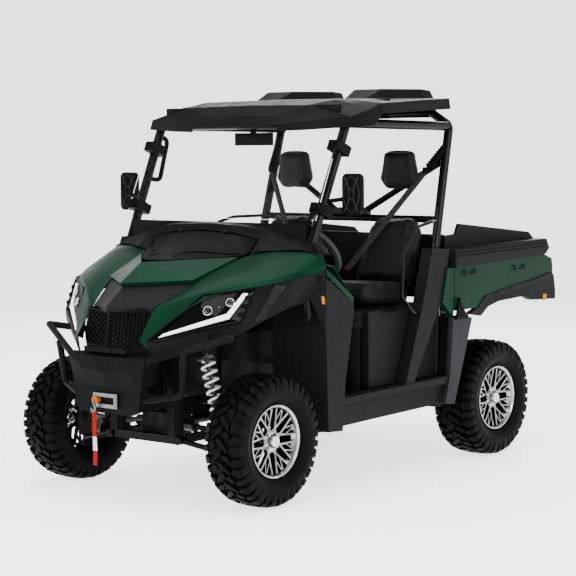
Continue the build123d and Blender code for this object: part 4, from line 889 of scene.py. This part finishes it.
# columns: a length's top and foot, and its material
for z0, z1, slot in ((0.466, 0.455, 0), (0.455, 0.330, 0), (0.330, 0.262, 1), (0.262, 0.190, 0)):
    sections = []
    for k in range(9):
        z = z0 + (z1 - z0) * k / 8
        x = 1.4835 + 0.0018 * sin((0.47 - z) * 22)
        half = 0.013 - 0.0008 * cos((0.47 - z) * 40)
        sections.append([(x + dx, HOOK_Y + dy, z) for dx, dy in (
            (-0.0015, -half), (-0.0015, half), (0.0015, half), (0.0015, -half))])
    net.ring_stack(sections, capped=True, slot=slot)
strap = net.make("hook_strap", [STRAP, PALE], "root", smooth=False)
for part in (drum, lead, stopper, hook, strap):
    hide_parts("winch")


# ---------------- seat belts
BUCKLE_X, BUCKLE_Y = -0.230, 0.170
net = Net()
high, low = Vector((-0.577, 0.600, 1.740)), Vector((-0.468, 0.556, 1.620))
hose(net, [high.lerp(low, k / 44) for k in range(45)], 0.025, 20,
     swell=lambda t: 0.70 + 0.30 * abs(sin(t * pi * 9)))
net.mirror()
bellows = net.make("belt_bellows", BLACK, "root")
net = Net()
start, end = Vector((-0.452, 0.548, 1.602)), Vector((-0.226, 0.172, 1.058))
along = (end - start).normalized()
across = along.cross(Vector((1, 0, 0.15))).normalized()
out = along.cross(across)
sections = []
for k in range(33):
    t = k / 32
    centre = start.lerp(end, t)
    fold = 0.0006 * sin(t * 30)
    wide, up, down = across * 0.019, out * (0.0009 + fold), out * (0.0009 - fold)
    sections.append([centre + wide + up, centre - wide + down, centre - wide - up, centre + wide - down])
net.ring_stack(sections, capped=True)
net.mirror()
web = net.make("belt_webs", WEB, "root")
net = Net()
hose(net, [(BUCKLE_X, BUCKLE_Y, 0.885 + 0.13 * k / 6) for k in range(7)], 0.008, 12)
net.pair((-0.243, -0.217), (0.157, 0.183), (1.012, 1.066))
net.pair((-0.236, -0.224), (0.162, 0.178), (1.0655, 1.074), 1)
net.pair((-0.480, -0.440), (0.533, 0.567), (1.592, 1.623))
lock = net.make("belt_locks", [BLACK, RED], "root", smooth=False)
soften(lock, 0.002)
for part, slot in ((bellows, "dark_plastic"), (web, "belt_web"), (lock, "belt_web")):
    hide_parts("seat_belts")


# ---------------- small parts of bed, cab and running gear
def laid(points, lift):
    """Points of (x, y) dropped onto the bonnet lid's solid."""
    shape = nodes["hood_lid"].data
    skin = BVHTree.FromPolygons([v.co for v in shape.vertices], [f.vertices for f in shape.polygons])
    out = []
    for x, y in points:
        spot, normal, _, _ = skin.ray_cast(Vector((x, y, 1.6)), -UP)
        if spot:
            out.append(spot + normal * lift)
    return out


lip_run = curve([Vector((x, y, 0)) for x, y in (
    (1.058, 0.082), (1.022, 0.064), (0.995, 0.068), (0.959, 0.108), (0.918, 0.205),
    (0.875, 0.275), (0.835, 0.314))], 8)
net = Net()
for side in SIDES:
    hose(net, laid([(p.x, side * p.y) for p in lip_run], 0.0005), 0.0038)
lip = net.make("lid_handle_lip", BLACK, "hood_lid")

MIRROR_X, MIRROR_Y, MIRROR_Z = 0.5065, 0.775, 1.5  # the left mirror's back
turns = [t / 12 * pi for t in range(25)]
net = Net()
for dy, dz in ((0.042, 0.086), (0.042, -0.086), (-0.042, 0.086), (-0.042, -0.086)):
    hose(net, [(MIRROR_X, MIRROR_Y + dy * k, MIRROR_Z + dz * k) for k in (0.22, 0.6, 1.0)], 0.0045)
hose(net, [(MIRROR_X, MIRROR_Y + 0.017 * cos(t), MIRROR_Z + 0.024 * sin(t))
            for t in turns], 0.004)
hose(net, [(MIRROR_X, MIRROR_Y + 0.050 * cos(t) ** 3 * 0.3 + 0.035 * cos(t),
             MIRROR_Z + 0.088 * sin(t)) for t in turns], 0.003, 8)
net.mirror()
rib = net.make("mirror_ribs", GUARD, "root")

net = Net()
for x in (-0.66, -1.16):
    hose(net, curve([(x + dx, y, z) for dx, y, z in (
        (0.0, 0.727, 1.062), (0.002, 0.734, 1.055), (0.006, 0.736, 1.040), (0.05, 0.736, 1.032),
        (0.094, 0.736, 1.040), (0.098, 0.734, 1.055), (0.1, 0.727, 1.062))], 5), 0.0045)
net.mirror()
tie = net.make("tie_down_handles", TUBE, "bed")
net = Net()
net.pair((-0.575, -0.458), (0.712, 0.748), (0.800, 0.820))
for y0, y1 in ((0.732, 0.746), (-0.746, -0.732)):
    net.plate(((-0.562, 0.818), (-0.470, 0.818), (-0.486, 0.898), (-0.502, 0.898)), y0, y1)
for side in SIDES:
    hose(net, [(-0.494, side * 0.739, 0.880 + 0.036 * k / 6) for k in range(7)], 0.011, 14)
latch = net.make("bed_latches", BLACK, "root", smooth=False)
soften(latch, 0.002)
net = Net()
for x, y, z in ((1.033, 0.545, 0.440), (-0.897, 0.545, 0.440)):
    hose(net, curve([(x + dx, y + dy, z + dz) for dx, dy, dz in (
        (0.02, -0.035, -0.03), (0.06, -0.075, 0.03), (0.07, -0.14, 0.07),
        (0.05, -0.22, 0.13), (0.02, -0.27, 0.22))], 8), 0.0045)
net.mirror()
line = net.make("brake_lines", ZINC, "root")


# ---------------- seats
SEAT_Y = 0.372
PRESSURE = 4.0  # inside a pad while cloth fills it
CLOTH_STEPS = 20
SEAM_WIDTH = 0.0075  # a seam's groove, to where its depth has fallen to a third
ELSEWHERE = 1  # added to a distance where the pad has no such seam


def rounded(points, radii, steps=6):
    """A polygon of (u, v) with each corner rounded by its own radius."""
    out = []
    n = len(points)
    for i in range(n):
        before, at, after = (Vector(points[(i + k) % n]) for k in (-1, 0, 1))
        back, ahead = (before - at).normalized(), (after - at).normalized()
        half = back.angle(ahead) / 2
        room = min((before - at).length * 0.48, (after - at).length * 0.48)
        reach = min(radii[i] / tan(half), room)
        start, end = at + back * reach, at + ahead * reach
        for k in range(steps + 1):
            t = k / steps
            out.append(start * (1 - t) ** 2 + at * 2 * t * (1 - t) + end * t * t)
    return out


def keep_evaluated(piece):
    """Makes the modifiers' result the piece's own mesh."""
    graph = bpy.context.evaluated_depsgraph_get()
    graph.update()
    mesh = bpy.data.meshes.new_from_object(piece.evaluated_get(graph))
    piece.modifiers.clear()
    piece.data = mesh
    mesh.polygons.foreach_set("use_smooth", [True] * len(mesh.polygons))


def inflate(piece, voxel, cap):
    """Remeshes a pad, lets cloth pressure fill it, and keeps the filled shape."""
    remesh = piece.modifiers.new("remesh", "REMESH")
    remesh.mode = "VOXEL"
    remesh.voxel_size = voxel
    keep_evaluated(piece)
    rest = [v.co.copy() for v in piece.data.vertices]
    settings = piece.modifiers.new("cloth", "CLOTH").settings
    settings.use_pressure = True
    settings.uniform_pressure_force = PRESSURE
    settings.effector_weights.gravity = 0
    scene = bpy.context.scene
    for step in range(1, CLOTH_STEPS + 1):
        scene.frame_set(step)
    keep_evaluated(piece)
    scene.frame_set(1)
    for vertex, start in zip(piece.data.vertices, rest):
        move = vertex.co - start
        if move.length > cap:
            vertex.co = start + move * (cap / move.length)


def relax(piece, rounds):
    """Evens out a remeshed surface."""
    shaped = bmesh.new()
    shaped.from_mesh(piece.data)
    for _ in range(rounds):
        bmesh.ops.smooth_vert(shaped, verts=shaped.verts, factor=0.5,
                              use_axis_x=True, use_axis_y=True, use_axis_z=True)
    shaped.to_mesh(piece.data)
    shaped.free()


def subdivide(piece):
    """One level of smooth subdivision."""
    soft = piece.modifiers.new("smooth", "SUBSURF")
    soft.levels = soft.render_levels = 1


def seam(distance, here, depth):
    """A seam's distance from a point, counted only where the seam runs, and its depth."""
    return abs(distance) + (0 if here else ELSEWHERE), depth


def pad(name, base, axes, outline, layers, voxel, cap, seams, flat_back):
    """A stuffed pad: rings of an outline at heights along the last axis, filled, then sewn.

    layers are (height, inset); seams gives each seam's distance and depth at (u, v, n)."""
    u_axis, v_axis, n_axis = axes
    centre = sum(outline, Vector((0, 0))) / len(outline)
    net = Net()
    rings = []
    for height, inset in layers:
        ring = []
        for p in outline:
            arm = p - centre
            q = centre + arm * max(0.05, 1 - inset / arm.length)
            ring.append(base + u_axis * q.x + v_axis * q.y + n_axis * height)
        rings.append(ring)
    net.ring_stack(rings, capped=True)
    piece = net.make(name, VINYL, "root")
    inflate(piece, voxel, cap)
    relax(piece, 2)
    mesh = piece.data
    normals = [v.normal.copy() for v in mesh.vertices]
    for vertex, normal in zip(mesh.vertices, normals):
        local = vertex.co - base
        u, v, n = local.dot(u_axis), local.dot(v_axis), local.dot(n_axis)
        if flat_back and n < 0.0:
            vertex.co -= n_axis * n
        sink = 0.0
        for distance, depth in seams(u, v, n):
            sink = max(sink, depth * exp(-((distance / SEAM_WIDTH) ** 2)))
        vertex.co -= normal * sink
    subdivide(piece)
    return piece


def mirrored_copy(piece, name):
    """The same piece on the other side of the vehicle."""
    mesh = piece.data.copy()
    mesh.transform(Matrix.Scale(-1, 4, LEFT))
    mesh.flip_normals()
    copy = new_piece(name, mesh, VINYL, "root")
    if piece.modifiers:
        subdivide(copy)
    return copy


rise = Vector((1, 0, 0.045)).normalized()
cushion = pad(
    "cushion_left", Vector((-0.300, SEAT_Y, 0.8975)), (LEFT, rise, rise.cross(LEFT)),
    rounded([(-0.165, 0.0), (0.195, 0.0), (0.205, 0.22), (0.195, 0.425), (-0.165, 0.425),
             (-0.176, 0.22)], [0.04, 0.04, 0.3, 0.10, 0.08, 0.3]),
    [(0.0, 0.02), (0.006, 0.006), (0.03, 0.0), (0.062, 0.002), (0.076, 0.012), (0.084, 0.03),
     (0.087, 0.07), (0.089, 0.12)],
    0.0075, 0.020,
    lambda u, v, n: (
        seam(n - 0.058, n < 0.085, 0.005),
        seam(abs(u - 0.012) - 0.125, n > 0.06 and v < 0.36, 0.004),
        seam(v - 0.34 + 0.25 * (u - 0.012) ** 2, n > 0.06 and abs(u - 0.012) < 0.125, 0.004)),
    True,
)
lean = Vector((-0.164, 0, 0.396)).normalized()
face = Vector((lean.z, 0, -lean.x))
backrest = pad(
    "backrest_left", Vector((-0.236, SEAT_Y, 0.990)) - face * 0.094, (LEFT, lean, face),
    rounded([(-0.185, 0.012), (0.185, 0.012), (0.196, 0.20), (0.176, 0.335), (0.125, 0.415),
             (-0.125, 0.415), (-0.176, 0.335), (-0.196, 0.20)],
            [0.035, 0.035, 0.2, 0.08, 0.09, 0.09, 0.08, 0.2]),
    [(0.0, 0.022), (0.008, 0.006), (0.03, 0.0), (0.062, 0.002), (0.074, 0.014), (0.080, 0.034),
     (0.080, 0.08), (0.080, 0.13)],
    0.0075, 0.018,
    lambda u, v, n: (
        seam(n - 0.060, n < 0.085, 0.005),
        seam(abs(u) - 0.122 - 0.02 * v, n > 0.06 and v < 0.35, 0.0045),
        seam(v - 0.35 + 0.6 * u * u, n > 0.06 and abs(u) < 0.129, 0.004)),
    False,
)
headrest = pad(
    "headrest_left", Vector((-0.490, SEAT_Y, 1.512)), (LEFT, UP, AHEAD),
    rounded([(-0.085, -0.010), (0.085, -0.010), (0.125, 0.045), (0.090, 0.200),
             (-0.090, 0.200), (-0.125, 0.045)], [0.02, 0.02, 0.03, 0.028, 0.028, 0.03]),
    [(0.0, 0.02), (0.008, 0.006), (0.03, 0.0), (0.055, 0.002), (0.068, 0.012), (0.074, 0.026),
     (0.076, 0.045)],
    0.0055, 0.0035,
    lambda u, v, n: (
        seam(n - 0.052, n < 0.075, 0.004),
        seam(abs(u) - 0.072 + 0.05 * (v - 0.1), n > 0.055, 0.0035)),
    False,
)
for piece, node in ((cushion, "seat_cushions"), (backrest, "seat_backs"), (headrest, "headrests")):
    twin = mirrored_copy(piece, piece.name.replace("left", "right"))
    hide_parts(node)
    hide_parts(node)


# ---------------- floor
floor_mesh = bpy.data.meshes.new("floor")
floor_mesh.from_pydata([(-40, -40, 0), (40, -40, 0), (40, 40, 0), (-40, 40, 0)], [], [(0, 1, 2, 3)])
floor = put("floor", floor_mesh)
lit = {"Emission Color": (1, 1, 1, 1), "Emission Strength": FLOOR_GLOW}
paper, paper_tree, paper_bsdf = shader("floor_paper", (0.86, 0.86, 0.86), 0.7, 0.0, lit)
vary(paper_tree, paper_bsdf, (0.85, 0.85, 0.85), (0.87, 0.87, 0.87), 0.6)
dress(floor, paper)
